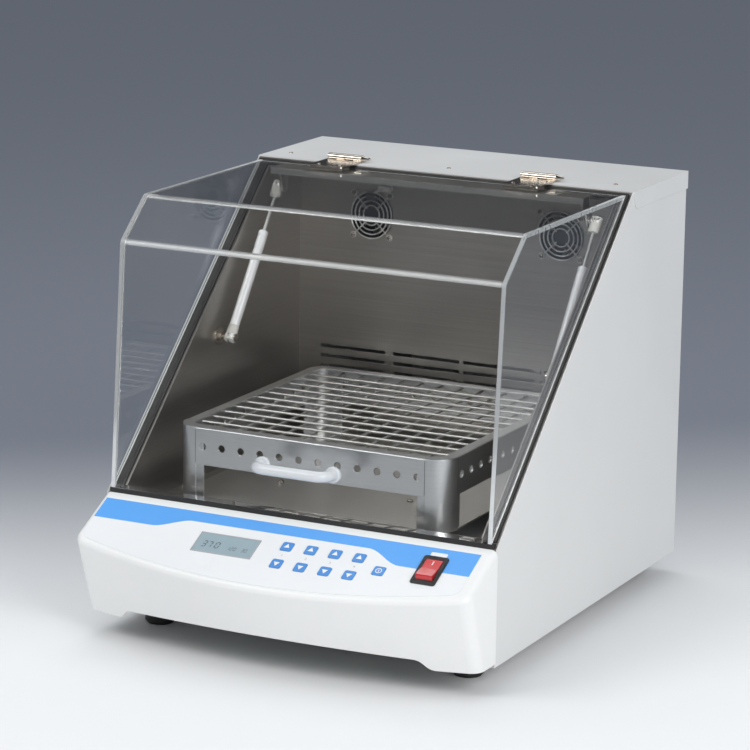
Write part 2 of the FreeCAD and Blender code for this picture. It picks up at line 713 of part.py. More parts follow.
def hinge_lid_leaf(x):
    half = HINGE_LENGTH / 2
    low = TOP_Z + 0.3
    knuckles = [knuckle(x, order, False) for order in range(1, KNUCKLES, 2)]
    leaf = box(x - half, x + half, LEAF_FRONT_Y, HINGE_Y - KNUCKLE_R - 0.6, low, low + LEAF)
    leaf = rounded(leaf, 5, lambda edge: along(edge, Z_AXIS) and edge.CenterOfMass.y < LEAF_FRONT_Y + 1)
    packer = box(x - half + 1, x + half - 1, LEAF_FRONT_Y + 1, STIFFENER_BACK_Y, HOOD_TOP_Z, low)
    bore = Part.makeCylinder(HINGE_PIN_R + HINGE_FIT, FAR, V(x - FAR / 2, HINGE_Y, HINGE_Z), X_AXIS)
    return fuse(leaf, packer, *knuckles).cut(bore)


def hinge_lid_leaves():
    return Part.makeCompound([hinge_lid_leaf(x) for x in HINGE_X])


# Gas struts, built on the right and mirrored to the left

def strut_direction():
    return V(0, STRUT_HIGH[0] - STRUT_LOW[0], STRUT_HIGH[1] - STRUT_LOW[1]).normalize()


def strut_point(distance):
    return V(STRUT_X, *STRUT_LOW) + strut_direction() * distance


def rod_piece(radius, start, end):
    return Part.makeCylinder(radius, end - start, strut_point(start), strut_direction())


def strut_length():
    return math.dist(STRUT_LOW, STRUT_HIGH)


def socket_block(centre, towards):
    low = V(centre.x - SOCKET_HALF, centre.y, centre.z)
    eye = Part.makeCylinder(STRUT_SOCKET_R, 2 * SOCKET_HALF, low, X_AXIS)
    eye = rounded(eye, 1.5, lambda edge: len(edge.Vertexes) == 1)
    neck = Part.makeCylinder(STRUT_SOCKET_R - 2, 16, centre, towards)
    return fuse(eye, neck)


def strut_groove(start):
    end = start + STRUT_GROOVE
    return rod_piece(STRUT_TUBE_R + 2, start, end).cut(rod_piece(STRUT_TUBE_R - 0.5, start, end))


def strut_tube():
    low = strut_point(0)
    tube = rod_piece(STRUT_TUBE_R, 15, STRUT_TUBE_END)
    tube = rounded(tube, 1.2, lambda edge: len(edge.Vertexes) == 1)
    tube = tube.cut([strut_groove(STRUT_TUBE_END - back) for back in STRUT_GROOVES])
    body = fuse(tube, socket_block(low, strut_direction()))
    cavity = rod_piece(STRUT_BORE_R, 24, STRUT_TUBE_END - 4)
    guide = rod_piece(STRUT_ROD_R + RUNNING_FIT, STRUT_TUBE_END - 5, STRUT_TUBE_END + 1)
    eye = Part.makeCylinder(STRUT_STUD_R + STRUT_FIT, 40, V(STRUT_X - 20, *STRUT_LOW), X_AXIS)
    return body.cut([cavity, guide, eye])


def strut_rod():
    top = strut_length()
    rod = rod_piece(STRUT_ROD_R, STRUT_ROD_START, top - 10)
    piston = rod_piece(STRUT_BORE_R - RUNNING_FIT, STRUT_ROD_START, STRUT_ROD_START + 8)
    end = socket_block(strut_point(top), strut_direction() * -1)
    return fuse(rod, piston, end)


def wall_stud():
    inner = STRUT_X - SOCKET_HALF - 2.5
    stud = Part.makeCylinder(STRUT_STUD_R, CHAMBER_X - inner, V(inner, *STRUT_LOW), X_AXIS)
    head = Part.makeCylinder(STRUT_STUD_R + 2, 2, V(inner, *STRUT_LOW), X_AXIS)
    base = Part.makeCylinder(11, 2.5, V(CHAMBER_X - 2.5, *STRUT_LOW), X_AXIS)
    nut = Part.makeCylinder(6, 4, V(CHAMBER_X - 6.5, *STRUT_LOW), X_AXIS)
    return fuse(stud, head, base, nut)


# Orbiting rack, built about its own middle

def rack_placement():
    return FreeCAD.Placement(V(RACK_X, RACK_Y, 0), FreeCAD.Rotation())


def ring(outer, inner, z0, z1):
    return drum(outer, z0, z1).cut(drum(inner, z0, z1))


def quarter_turns(shape):
    copies = []
    for step in range(4):
        turned = shape.copy()
        turned.rotate(V(0, 0, 0), Z_AXIS, 90 * step)
        copies.append(turned)
    return copies


def rack_base():
    plate = pad(0, 0, RACK_SIZE, RACK_SIZE, RACK_CORNER_R, RACK_BASE_Z, RACK_BASE_Z + RACK_SHEET)
    return placed(plate, rack_placement())


def rack_post():
    low = RACK_BASE_Z + RACK_SHEET
    outer = RACK_CORNER_R
    wing_out = outer - RACK_SHEET
    wing_in = outer - 2 * RACK_SHEET
    quarter = box(0, FAR, 0, FAR, 0, FAR)
    column = ring(outer, wing_in, low, RACK_TOP_Z).common(quarter)
    shoulder = ring(outer, outer - RAIL_FLANGE, RACK_TOP_Z - RACK_SHEET, RACK_TOP_Z).common(quarter)
    flange_low = RACK_TOP_Z - RACK_SHEET
    wings = [box(-POST_WING, 0, wing_in, wing_out, low, flange_low),
             box(wing_in, wing_out, -POST_WING, 0, low, flange_low)]
    corner = FreeCAD.Placement(V(RACK_SIZE / 2 - outer, RACK_SIZE / 2 - outer, 0), FreeCAD.Rotation())
    return placed(fuse(column, shoulder, *wings), corner)


def rack_rail():
    half = RACK_SIZE / 2
    span = half - RACK_CORNER_R
    web = box(-span, span, half - RACK_SHEET, half, RACK_TOP_Z - RAIL_HEIGHT, RACK_TOP_Z)
    flange = box(-span, span, half - RAIL_FLANGE, half, RACK_TOP_Z - RACK_SHEET, RACK_TOP_Z)
    web = rounded(fuse(web, flange), RACK_SHEET - 0.3,
                  lambda edge: along(edge, X_AXIS) and edge.BoundBox.YMin > half - 0.1
                  and edge.BoundBox.ZMin > RACK_TOP_Z - 0.1)
    first = -(RAIL_HOLES - 1) / 2 * RAIL_PITCH
    middle = RACK_TOP_Z - RAIL_HEIGHT / 2
    holes = [Part.makeCylinder(RAIL_HOLE_R, 4, V(first + step * RAIL_PITCH, half - 3, middle), Y_AXIS)
             for step in range(RAIL_HOLES)]
    return web.cut(holes)


def rack_frame():
    pieces = quarter_turns(rack_post()) + quarter_turns(rack_rail())
    return placed(Part.makeCompound(pieces), rack_placement())


def rack_wires():
    end = RACK_SIZE / 2 - RACK_SHEET
    top_layer = RACK_TOP_Z - RACK_SHEET - WIRE_R
    low_layer = top_layer - 2 * WIRE_R
    first = -(WIRES - 1) / 2 * WIRE_PITCH
    wires = []
    for step in range(WIRES):
        place = first + step * WIRE_PITCH
        wires.append(Part.makeCylinder(WIRE_R, 2 * end, V(-end, place, top_layer), X_AXIS))
        wires.append(Part.makeCylinder(WIRE_R, 2 * end, V(place, -end, low_layer), Y_AXIS))
    return placed(Part.makeCompound(wires), rack_placement())


def platform_spider():
    plate = pad(0, 0, 2 * SPIDER_HALF, 2 * SPIDER_HALF, 20, SPIDER_LOW_Z, RACK_BASE_Z)
    hub = drum(18, CRANK_TOP_Z + 1, SPIDER_LOW_Z)
    windows = [pad(x, -78, 70, 60, 12, 0, FAR) for x in (-60, 60)]
    windows += [pad(x, 62, 76, 80, 12, 0, FAR) for x in (-70, 70)]
    bores = [drum(PIN_R + RUNNING_FIT, 0, FAR)]
    bores += [drum(IDLER_PIN_R + IDLER_OPEN_FIT, 0, FAR, x, y - DRIVE_Y) for x, y in idler_places()]
    rims = [drum(IDLER_PIN_R + 9, SPIDER_LOW_Z, RACK_BASE_Z, x, y - DRIVE_Y) for x, y in idler_places()]
    return placed(fuse(cut(plate, windows), hub, *rims).cut(bores), rack_placement())


# Orbital drive

def idler_places():
    places = []
    for angle in IDLER_ANGLES:
        turn = math.radians(angle)
        places.append((IDLER_REACH * math.cos(turn), DRIVE_Y + IDLER_REACH * math.sin(turn)))
    return places


def idler_crank(x, y):
    journal = drum(IDLER_JOURNAL_R, IDLER_BOSS_LOW_Z, IDLER_WEB_LOW_Z, x, y)
    pin = drum(IDLER_PIN_R, IDLER_WEB_TOP_Z, RACK_BASE_Z - 1, x + CRANK_DX, y + CRANK_DY)
    ends = [drum(9, IDLER_WEB_LOW_Z, IDLER_WEB_TOP_Z, x, y),
            drum(8, IDLER_WEB_LOW_Z, IDLER_WEB_TOP_Z, x + CRANK_DX, y + CRANK_DY)]
    return fuse(journal, pin, *ends)


def drive_plate():
    plate = box(-PLATE_X, PLATE_X, PLATE_FRONT_Y, PLATE_BACK_Y, PLATE_LOW_Z, PLATE_TOP_Z)
    plate = rounded(plate, 12, lambda edge: along(edge, Z_AXIS))
    bosses = [drum(IDLER_BOSS_R, IDLER_BOSS_LOW_Z, IDLER_WEB_LOW_Z - 0.5, x, y) for x, y in idler_places()]
    bores = [drum(IDLER_JOURNAL_R + RUNNING_FIT, 0, FAR, x, y) for x, y in idler_places()]
    return fuse(plate, *bosses).cut(bores + [drum(28, 0, FAR, 0, DRIVE_Y)])


def bearing_housing():
    sleeve = drum(27.5, 64, CRANK_LOW_Z - 1, 0, DRIVE_Y)
    flange = drum(46, PLATE_TOP_Z, PLATE_TOP_Z + 5, 0, DRIVE_Y)
    bore = drum(14, 0, FAR, 0, DRIVE_Y)
    seats = [drum(20.02, 63, 76, 0, DRIVE_Y), drum(20.02, 106, 120, 0, DRIVE_Y)]
    return fuse(sleeve, flange).cut([bore] + seats)


def shaft_bearings():
    rings = []
    for low in (64.0, 106.0):
        race = drum(20, low, low + 12, 0, DRIVE_Y)
        groove = ring(16.5, 12.5, low, low + 1.2).translated(V(0, DRIVE_Y, 0))
        top_groove = ring(16.5, 12.5, low + 10.8, low + 12).translated(V(0, DRIVE_Y, 0))
        rings.append(race.cut([drum(SHAFT_R + RUNNING_FIT, 0, FAR, 0, DRIVE_Y), groove, top_groove]))
    return Part.makeCompound(rings)


def crank_shaft():
    shaft = drum(SHAFT_R, PULLEY_LOW_Z - 4, CRANK_LOW_Z, 0, DRIVE_Y)
    flange = drum(CRANK_FLANGE_R, CRANK_LOW_Z, CRANK_STEP_Z, 0, DRIVE_Y)
    disc = drum(CRANK_DISC_R, CRANK_STEP_Z, CRANK_TOP_Z, 0, DRIVE_Y)
    pin = drum(PIN_R, CRANK_TOP_Z, RACK_BASE_Z - 1, RACK_X, RACK_Y)
    return fuse(shaft, flange, disc, pin)


def counterweight():
    outer = 66.0
    top = CRANK_STEP_Z + 11
    half = ring(outer, CRANK_DISC_R + 0.3, CRANK_STEP_Z, top).common(box(-FAR, FAR, 0, FAR, 0, FAR))
    heading = math.degrees(math.atan2(-CRANK_DY, -CRANK_DX)) - 90
    half.rotate(V(0, 0, 0), Z_AXIS, heading)
    return half.translated(V(0, DRIVE_Y, 0))


def flanged_pulley(radius, bore, x, y):
    rim = drum(radius, PULLEY_LOW_Z + 1.5, PULLEY_TOP_Z - 1.5, x, y)
    flanges = [drum(radius + 4.5, PULLEY_LOW_Z, PULLEY_LOW_Z + 1.5, x, y),
               drum(radius + 4.5, PULLEY_TOP_Z - 1.5, PULLEY_TOP_Z, x, y)]
    return fuse(rim, *flanges).cut(drum(bore, 0, FAR, x, y))


def main_pulley():
    wheel = flanged_pulley(PULLEY_R, SHAFT_R, 0, DRIVE_Y)
    holes = []
    for step in range(6):
        turn = math.radians(60 * step)
        holes.append(drum(14, 0, FAR, 42 * math.cos(turn), DRIVE_Y + 42 * math.sin(turn)))
    return wheel.cut(holes)


def motor_pulley():
    wheel = flanged_pulley(MOTOR_PULLEY_R, MOTOR_SHAFT_R, 0, MOTOR_Y)
    shaft = drum(MOTOR_SHAFT_R, PULLEY_LOW_Z - 2, MOTOR_LOW_Z + 30, 0, MOTOR_Y)
    return fuse(wheel, shaft)


def belt_loop(big, small):
    span = MOTOR_Y - DRIVE_Y
    lean = math.asin((big - small) / span)
    out = math.cos(lean)
    up = math.sin(lean)
    low = PULLEY_LOW_Z + 2
    b_left, b_right = V(-big * out, DRIVE_Y + big * up, low), V(big * out, DRIVE_Y + big * up, low)
    s_left, s_right = V(-small * out, MOTOR_Y + small * up, low), V(small * out, MOTOR_Y + small * up, low)
    edges = [Part.Arc(b_left, V(0, DRIVE_Y - big, low), b_right).toShape(), Part.makeLine(b_right, s_right),
             Part.Arc(s_right, V(0, MOTOR_Y + small, low), s_left).toShape(), Part.makeLine(s_left, b_left)]
    return Part.Face(Part.Wire(edges)).extrude(V(0, 0, PULLEY_TOP_Z - PULLEY_LOW_Z - 4))


def drive_belt():
    inner = belt_loop(PULLEY_R + BELT_GAP, MOTOR_PULLEY_R + BELT_GAP)
    outer = belt_loop(PULLEY_R + BELT_GAP + BELT, MOTOR_PULLEY_R + BELT_GAP + BELT)
    return outer.cut(inner)


def drive_motor():
    body = drum(MOTOR_R, MOTOR_LOW_Z, PLATE_LOW_Z, 0, MOTOR_Y)
    body = rounded(body, 5, lambda edge: edge.BoundBox.ZMax < MOTOR_LOW_Z + 1)
    grooves = [ring(MOTOR_R + 5, MOTOR_R - 3, z, z + 4).translated(V(0, MOTOR_Y, 0)) for z in (76, 84, 92)]
    bore = drum(MOTOR_SHAFT_R + RUNNING_FIT, 0, MOTOR_LOW_Z + 31, 0, MOTOR_Y)
    return body.cut(grooves + [bore])


# Fascia and controls

def fascia_block(inset):
    half = WIDTH / 2 - inset
    brow_end_z = SILL_Z + (BROW_END_Y - CASE_FRONT_Y) * PANEL_TAN
    brow_mid_z = SILL_Z + (BROW_MID_Y - CASE_FRONT_Y) * PANEL_TAN
    end_y = BROW_END_Y + (brow_end_z - FASCIA_BOTTOM_Z) * FASCIA_RAKE + inset
    mid_y = BROW_MID_Y + (brow_mid_z - FASCIA_BOTTOM_Z) * FASCIA_RAKE + inset
    low = FASCIA_BOTTOM_Z
    bow = Part.Arc(V(-half, end_y, low), V(0, mid_y, low), V(half, end_y, low)).toShape()
    rest = Part.makePolygon([V(half, end_y, low), V(half, 0, low), V(-half, 0, low), V(-half, end_y, low)])
    rise = SILL_Z - low
    block = Part.Face(Part.Wire([bow] + rest.Edges)).extrude(V(0, -FASCIA_RAKE * rise, rise))

    def upright_at_front(edge):
        return edge.CenterOfMass.y < end_y and edge.BoundBox.ZLength > rise / 2

    block = rounded(block, FASCIA_CORNER_R - inset, upright_at_front)
    above = placed(box(-FAR, FAR, -FAR, FAR, -inset, FAR), PANEL)
    return block.cut([above, box(-FAR, FAR, CASE_FRONT_Y, FAR, 0, FAR)])


def on_brow(edge):
    middle = edge.CenterOfMass
    drop = (middle.z - SILL_Z) - (middle.y - CASE_FRONT_Y) * PANEL_TAN
    return abs(drop) < 6 and middle.y < CASE_FRONT_Y - 20


def arch():
    y = -FAR / 2
    left = [V(-ARCH_X, y, FASCIA_BOTTOM_Z), V(-ARCH_X + 14, y, FASCIA_BOTTOM_Z),
            V(-ARCH_SHOULDER_X - 14, y, ARCH_SHOULDER_Z), V(-ARCH_SHOULDER_X, y, ARCH_SHOULDER_Z)]
    right = [V(-point.x, y, point.z) for point in reversed(left)]
    flanks = []
    for poles in (left, right):
        curve = Part.BezierCurve()
        curve.setPoles(poles)
        flanks.append(curve.toShape())
    crown = Part.Arc(left[3], V(0, y, ARCH_MID_Z), right[0]).toShape()
    base = Part.makePolygon([right[3], V(ARCH_X, y, 0), V(-ARCH_X, y, 0), left[0]])
    return Part.Face(Part.Wire([flanks[0], crown, flanks[1]] + base.Edges)).extrude(V(0, FAR, 0))


def on_panel(x0, x1, top, bottom, z0, z1):
    return placed(box(x0, x1, -bottom, -top, z0, z1), PANEL)


def key_places():
    places = {}
    for row, name in enumerate(("up", "down")):
        for column, x in enumerate(KEY_X):
            places["key_%s_%d" % (name, column + 1)] = (x, KEY_UP_DOWN_SLOPE[row])
    places["key_start"] = (START_X, START_SLOPE)
    return places


def key_holes():
    wide = KEY_SIZE + 2 * KEY_GAP
    return [placed(pad(x, -slope, wide, wide, KEY_CORNER_R, -10, 10), PANEL)
            for x, slope in key_places().values()]


def lcd_hole():
    return on_panel(LCD_X[0] - LCD_GAP, LCD_X[1] + LCD_GAP, LCD_SLOPE[0] - LCD_GAP, LCD_SLOPE[1] + LCD_GAP,
                    -10, 10)


def switch_hole():
    return placed(pad(SWITCH_X, -SWITCH_SLOPE, SWITCH_WIDE - 3, SWITCH_LONG - 3, 1.5, -10, 10), PANEL)


def front_fascia():
    outside = rounded(fascia_block(0), FASCIA_BROW_R, on_brow)
    inside = rounded(fascia_block(FASCIA_WALL), FASCIA_BROW_R - FASCIA_WALL, on_brow)
    shell = outside.cut([inside, arch()])
    return shell.cut(key_holes() + [lcd_hole(), switch_hole()])


def control_overlay():
    end = (CASE_FRONT_Y - BROW_END_Y) / PANEL_COS - OVERLAY_BROW_GAP
    middle = (CASE_FRONT_Y - BROW_MID_Y) / PANEL_COS - OVERLAY_BROW_GAP
    left, right = OVERLAY_LEFT_X, OVERLAY_RIGHT_X
    bow = Part.Arc(V(left, -end, 0), V(0, -middle, 0), V(right, -end, 0)).toShape()
    rest = Part.makePolygon([V(right, -end, 0), V(right, -OVERLAY_TOP, 0), V(left, -OVERLAY_TOP, 0),
                             V(left, -end, 0)])
    film = Part.Face(Part.Wire([bow] + rest.Edges)).extrude(V(0, 0, OVERLAY))
    film = rounded(film, OVERLAY_CORNER_R, lambda edge: along(edge, Z_AXIS) and edge.CenterOfMass.y < 1 - end)
    return placed(film, PANEL).cut(key_holes() + [lcd_hole(), switch_hole()])


def key_cap(x, slope):
    cap = pad(x, -slope, KEY_SIZE, KEY_SIZE, KEY_CORNER_R, -KEY_DEEP, KEY_PROUD)
    cap = rounded(cap, 0.5, lambda edge: edge.BoundBox.ZMin > KEY_PROUD - 0.01)
    return placed(cap, PANEL)


def lcd_window():
    return on_panel(LCD_X[0], LCD_X[1], LCD_SLOPE[0], LCD_SLOPE[1], -2.5, OVERLAY - 0.2)


def rocker_space(grow):
    pivot = V(SWITCH_X - ROCKER_WIDE / 2 - grow, -SWITCH_SLOPE, ROCKER_PIVOT)
    return Part.makeCylinder(ROCKER_R + grow, ROCKER_WIDE + 2 * grow, pivot, X_AXIS)


def switch_bezel():
    collar = pad(SWITCH_X, -SWITCH_SLOPE, SWITCH_WIDE, SWITCH_LONG, 3, OVERLAY, SWITCH_PROUD)
    collar = rounded(collar, 1, lambda edge: edge.BoundBox.ZMin > SWITCH_PROUD - 0.01)
    body = pad(SWITCH_X, -SWITCH_SLOPE, SWITCH_WIDE - 3.6, SWITCH_LONG - 3.6, 1.2, -SWITCH_DEEP, OVERLAY)
    return placed(fuse(collar, body).cut(rocker_space(ROCKER_GAP)), PANEL)


def power_rocker():
    half = ROCKER_R + 1
    middle = -SWITCH_SLOPE
    tall = SWITCH_PROUD + 2.8
    outline = [(middle - half, ROCKER_PIVOT - 5), (middle + half, ROCKER_PIVOT - 5), (middle + half, tall),
               (middle, SWITCH_PROUD + 0.8), (middle - half, tall)]
    paddle = yz_prism(outline, SWITCH_X - ROCKER_WIDE / 2, SWITCH_X + ROCKER_WIDE / 2)
    paddle = paddle.common(rocker_space(0))
    paddle.rotate(V(SWITCH_X, middle, ROCKER_PIVOT), X_AXIS, ROCKER_TILT)
    return placed(paddle, PANEL)


def control_board():
    board = on_panel(-115, 160, 34, 84, -22, -20.4)
    display = on_panel(LCD_X[0] - 4, LCD_X[1] + 4, LCD_SLOPE[0] - 3, LCD_SLOPE[1] + 3, -20.4, -3.2)
    switches = [on_panel(x - 3, x + 3, slope - 3, slope + 3, -20.4, -KEY_DEEP - 1.4)
                for x, slope in key_places().values()]
    return fuse(board, display, *switches)


def power_supply():
    case = box(-215, -85, 245, 300, PAN_TOP_Z, PAN_TOP_Z + 24)
    coil = box(-205, -165, 180, 225, PAN_TOP_Z, PAN_TOP_Z + 45)
    return Part.makeCompound([case, rounded(coil, 4, lambda edge: along(edge, Z_AXIS))])


def power_inlet():
    half_wide = INLET_WIDE / 2
    half_high = INLET_HIGH / 2
    flange = box(INLET_X - half_wide, INLET_X + half_wide, REAR_FACE_Y, CASE_BACK_Y, INLET_Z - half_high,
                 INLET_Z + half_high)
    body = box(INLET_X - half_wide + 4.2, INLET_X + half_wide - 4.2, REAR_FACE_Y - 22, REAR_FACE_Y,
               INLET_Z - half_high + 2.2, INLET_Z + half_high - 2.2)
    well = box(INLET_X - 12, INLET_X + 12, CASE_BACK_Y - 17, CASE_BACK_Y + 1, INLET_Z - 8, INLET_Z + 8)
    well = rounded(well, 4, lambda edge: along(edge, Y_AXIS) and edge.CenterOfMass.z > INLET_Z)
    pins = [box(INLET_X + dx - 1, INLET_X + dx + 1, CASE_BACK_Y - 18, CASE_BACK_Y - 3, INLET_Z + dz - 2,
                INLET_Z + dz + 2) for dx, dz in ((-7, -2), (7, -2), (0, 3))]
    return fuse(fuse(flange, body).cut(well), *pins)


# Node shapes

def node_shapes():
    tube = strut_tube()
    rod = strut_rod()
    shapes = {
        "base_pan": base_pan(),
        "rubber_feet": rubber_feet(),
        "right_side_panel": side_panel(),
        "left_side_panel": mirrored(side_panel()),
        "top_cover": top_cover(),
        "rear_panel": rear_panel(),
        "chamber_liner": chamber_liner(),
        "rim_flange": rim_flange(),
        "rim_gasket": rim_gasket(),
        "wall_insulation": wall_insulation(),
        "fan_frames": fan_frames(),
        "fan_guards": fan_guards(),
        "left_fan_rotor": fan_rotor(-FAN_X),
        "right_fan_rotor": fan_rotor(FAN_X),
        "sensor_cap": sensor_cap(),
        "heater_element": heater_element(),
        "hood_shell": hood_shell(),
        "hood_sides": hood_sides(),
        "lid_stiffener": lid_stiffener(),
        "lid_handle": lid_handle(),
        "hinge_cover_leaves": hinge_cover_leaves(),
        "hinge_lid_leaves": hinge_lid_leaves(),
        "strut_wall_studs": both_sides(wall_stud()),
        "right_strut_tube": tube,
        "right_strut_rod": rod,
        "left_strut_tube": mirrored(tube),
        "left_strut_rod": mirrored(rod),
        "rack_base": rack_base(),
        "rack_frame": rack_frame(),
        "rack_wires": rack_wires(),
        "platform_spider": platform_spider(),
        "drive_plate": drive_plate(),
        "bearing_housing": bearing_housing(),
        "shaft_bearings": shaft_bearings(),
        "crank_shaft": crank_shaft(),
        "counterweight": counterweight(),
        "main_pulley": main_pulley(),
        "motor_pulley": motor_pulley(),
        "drive_belt": drive_belt(),
        "drive_motor": drive_motor(),
        "front_fascia": front_fascia(),
        "control_overlay": control_overlay(),
        "lcd_window": lcd_window(),
        "switch_bezel": switch_bezel(),
        "power_rocker": power_rocker(),
        "control_board": control_board(),
        "power_supply": power_supply(),
        "power_inlet": power_inlet(),
    }
    for number, (x, y) in enumerate(idler_places(), start=1):
        shapes["idler_crank_%d" % number] = idler_crank(x, y)
    for name, (x, slope) in key_places().items():
        shapes[name] = key_cap(x, slope)
    return shapes


os.makedirs("parts", exist_ok=True)
for node, shape in node_shapes().items():
    shape.exportStep("parts/%s.step" % node)
    print(node, "solids", len(shape.Solids), "valid", shape.isValid(), "volume", round(shape.Volume))
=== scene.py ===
# Looks of a bench-top orbital shaking incubator, in metres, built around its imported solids.
import bmesh
import bpy
import json
import math
from mathutils import Matrix, Vector


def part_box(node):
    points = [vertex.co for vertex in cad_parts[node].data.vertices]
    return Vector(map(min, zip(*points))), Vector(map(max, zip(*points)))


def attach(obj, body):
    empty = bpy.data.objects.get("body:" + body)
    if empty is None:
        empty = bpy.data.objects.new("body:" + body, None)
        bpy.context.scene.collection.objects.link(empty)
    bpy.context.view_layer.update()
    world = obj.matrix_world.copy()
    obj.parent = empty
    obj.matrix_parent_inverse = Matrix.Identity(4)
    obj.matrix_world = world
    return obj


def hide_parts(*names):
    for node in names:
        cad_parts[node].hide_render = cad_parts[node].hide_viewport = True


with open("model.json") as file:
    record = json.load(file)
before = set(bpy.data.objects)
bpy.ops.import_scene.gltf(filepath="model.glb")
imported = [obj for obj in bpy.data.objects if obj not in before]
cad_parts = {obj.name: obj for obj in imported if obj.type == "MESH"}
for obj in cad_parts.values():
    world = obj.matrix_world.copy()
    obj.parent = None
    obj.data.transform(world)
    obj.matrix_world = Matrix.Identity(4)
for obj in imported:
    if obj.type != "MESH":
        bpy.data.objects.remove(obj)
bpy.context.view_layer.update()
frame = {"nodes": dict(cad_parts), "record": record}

MM = 0.001

# Camera and light
CAMERA_AIM = Vector((-0.0304, 0.0382, 0.2724))
CAMERA_AZIMUTH = math.radians(26.847)
CAMERA_ELEVATION = math.radians(13.334)
CAMERA_ROLL = math.radians(0.717)
CAMERA_DISTANCE = 3.9348
CAMERA_LENS = 159.08
LIGHT_AIM = Vector((0, 0, 0.25))
FLOOR_HALF = 40.0
# Floor colour ramps: a painted pool of light around the object, fading to grey behind and dark in front as
# painted falloff.
FLOOR_TURN = math.radians(36)
FLOOR_PALE_TO = -0.17
FLOOR_GREY_FROM = 0.90
FLOOR_FRONT_PALE_TO = 0.85
FLOOR_FRONT_DARK_FROM = 1.7
PALE_FLOOR = (0.84, 0.84, 0.84, 1)
GREY_FLOOR = (0.21, 0.225, 0.265, 1)
DARK_FLOOR = (0.05, 0.052, 0.056, 1)
DARK_SURROUND = (0.035, 0.037, 0.043, 1)
ROOM_LIGHT = (0.9, 0.95, 1.0, 1)
ROOM_STRENGTH = 0.6
DUST_COLOUR = (0.62, 0.61, 0.58, 1)

# Slanted planes of the case
CASE_FRONT_Y = -213 * MM
SILL_Z = 160 * MM
SEAM = Matrix.Translation((0, CASE_FRONT_Y, SILL_Z))
PANEL = SEAM @ Matrix.Rotation(math.radians(27.2), 4, "X")
RIM = SEAM @ Matrix.Rotation(math.radians(43.5), 4, "X")

# Clear hood
HOOD_SHEET = 5 * MM
HOOD_SEAT = 4.3 * MM
HOOD_TOP_Z = 498.5 * MM
HOOD_OUTLINE = [(-214 * MM, 166 * MM), (-191 * MM, 452 * MM), (-138 * MM, HOOD_TOP_Z), (148 * MM, HOOD_TOP_Z)]
HOOD_BEND_R = 10 * MM
BEND_STEPS = 8
CEMENT_GAP = 0.05 * MM
SAWN_EDGE_BEVEL = 0.4 * MM
CLEAR_FACE = 0
SAWN_FACE = 1
FORMED_FACE = 2
ACRYLIC_IOR = 1.49

# Control panel print, measured down the slope from the seam
FILM = 0.5 * MM
PRINT = 0.06 * MM
BAND_LEFT_X = -243 * MM
BAND_RIGHT_X = 235 * MM
BAND_TOP = 10.8 * MM
BAND_LEFT_LOW = 43.5 * MM
BAND_MIDDLE_LOW = 27 * MM
BAND_RIGHT_LOW = 47 * MM
BAND_LEFT_BEND = (-166 * MM, -120 * MM)
BAND_RIGHT_BEND = (104 * MM, 150 * MM)
BAND_STEPS = 120
KEY_X = (10 * MM, 40 * MM, 70.5 * MM, 100.5 * MM)
KEY_UP_SLOPE = 44.5 * MM
KEY_DOWN_SLOPE = 73 * MM
KEY_TOP = 1.3 * MM
START_KEY = (131.3 * MM, 59.6 * MM)
ARROW_R = 4.2 * MM
ARROW_CORNER = 0.4 * MM
START_RING_R = 3.9 * MM
START_LINE = 1.0 * MM
START_BAR = 3.4 * MM
KEY_NUMBER_HIGH = 5 * MM
LCD_X = (-101 * MM, -24 * MM)
LCD_SLOPE = (41 * MM, 73 * MM)
LCD_RIM = 1.6 * MM
LCD_RIM_HIGH = 0.35 * MM
LCD_FACE = FILM - 0.2 * MM
DIGIT_HIGH = 9 * MM
SMALL_DIGIT_HIGH = 0.55 * DIGIT_HIGH
DIGIT_LEAN = 0.12
SWITCH_X = 188 * MM
SWITCH_SLOPE = 47.3 * MM
ROCKER_PIVOT = -3 * MM
ROCKER_TILT = math.radians(-9)
ROCKER_FACE = math.atan2(2, 18)
ROCKER_MARK = Vector((0, 9 * MM, 7.4 * MM))
SWITCH_PATCH = (20 * MM, 5.5 * MM)
SWITCH_PATCH_SLOPE = 20.5 * MM
SWITCH_PATCH_CORNER = 1.5 * MM
ROCKER_MARK_SIZE = (1.2 * MM, 6 * MM, 0.3 * MM)

# Fasteners and strut fittings
COVER_SCREW_X = (-222 * MM, -6 * MM, 212 * MM)
COVER_SCREW_Y = 180 * MM
HINGE_X = (-137 * MM, 121 * MM)
HINGE_SCREW_HALF = 14 * MM
HINGE_SCREW_Y = {"cover": 178 * MM, "lid": 120 * MM}
COVER_LEAF = 1.8 * MM
LID_LEAF_STEP = 0.3 * MM
FAN_X = (-126 * MM, 126 * MM)
FAN_Z = 425 * MM
FAN_HOLE = 25 * MM
FAN_GUARD_LUG = 0.9 * MM
RACK_SCREW_X = (-97 * MM, 72 * MM)
RACK_SCREW_Y = (-69 * MM, 74 * MM)
REAR_SCREW_INSET = 7 * MM
REAR_SCREW_TOP = 22 * MM
REAR_SCREW_ROWS = 4
RING_WIRE = 0.9 * MM
STRUT_X = 209 * MM
STRUT_LOW = Vector((0, 8 * MM, 304.6 * MM))
STRUT_HIGH = Vector((0, 123.5 * MM, 466.5 * MM))
SOCKET_R = 6.6 * MM
SLEEVE_R = 7.2 * MM
SLEEVE_LONG = 20 * MM
SLEEVE_SHIFT = 5 * MM
RACK_CORNER_R = 28 * MM
RAIL_HEIGHT = 44 * MM
RAIL_SEAM = 0.5 * MM
SEAM_MARGIN = 2 * MM


# Shader node helpers

def feed(tree, socket, value):
    if isinstance(value, bpy.types.NodeSocket):
        tree.links.new(value, socket)
    else:
        socket.default_value = value


def calculate(tree, operation, first, second=0.0):
    node = tree.nodes.new("ShaderNodeMath")
    node.operation = operation
    feed(tree, node.inputs[0], first)
    feed(tree, node.inputs[1], second)
    return node.outputs[0]


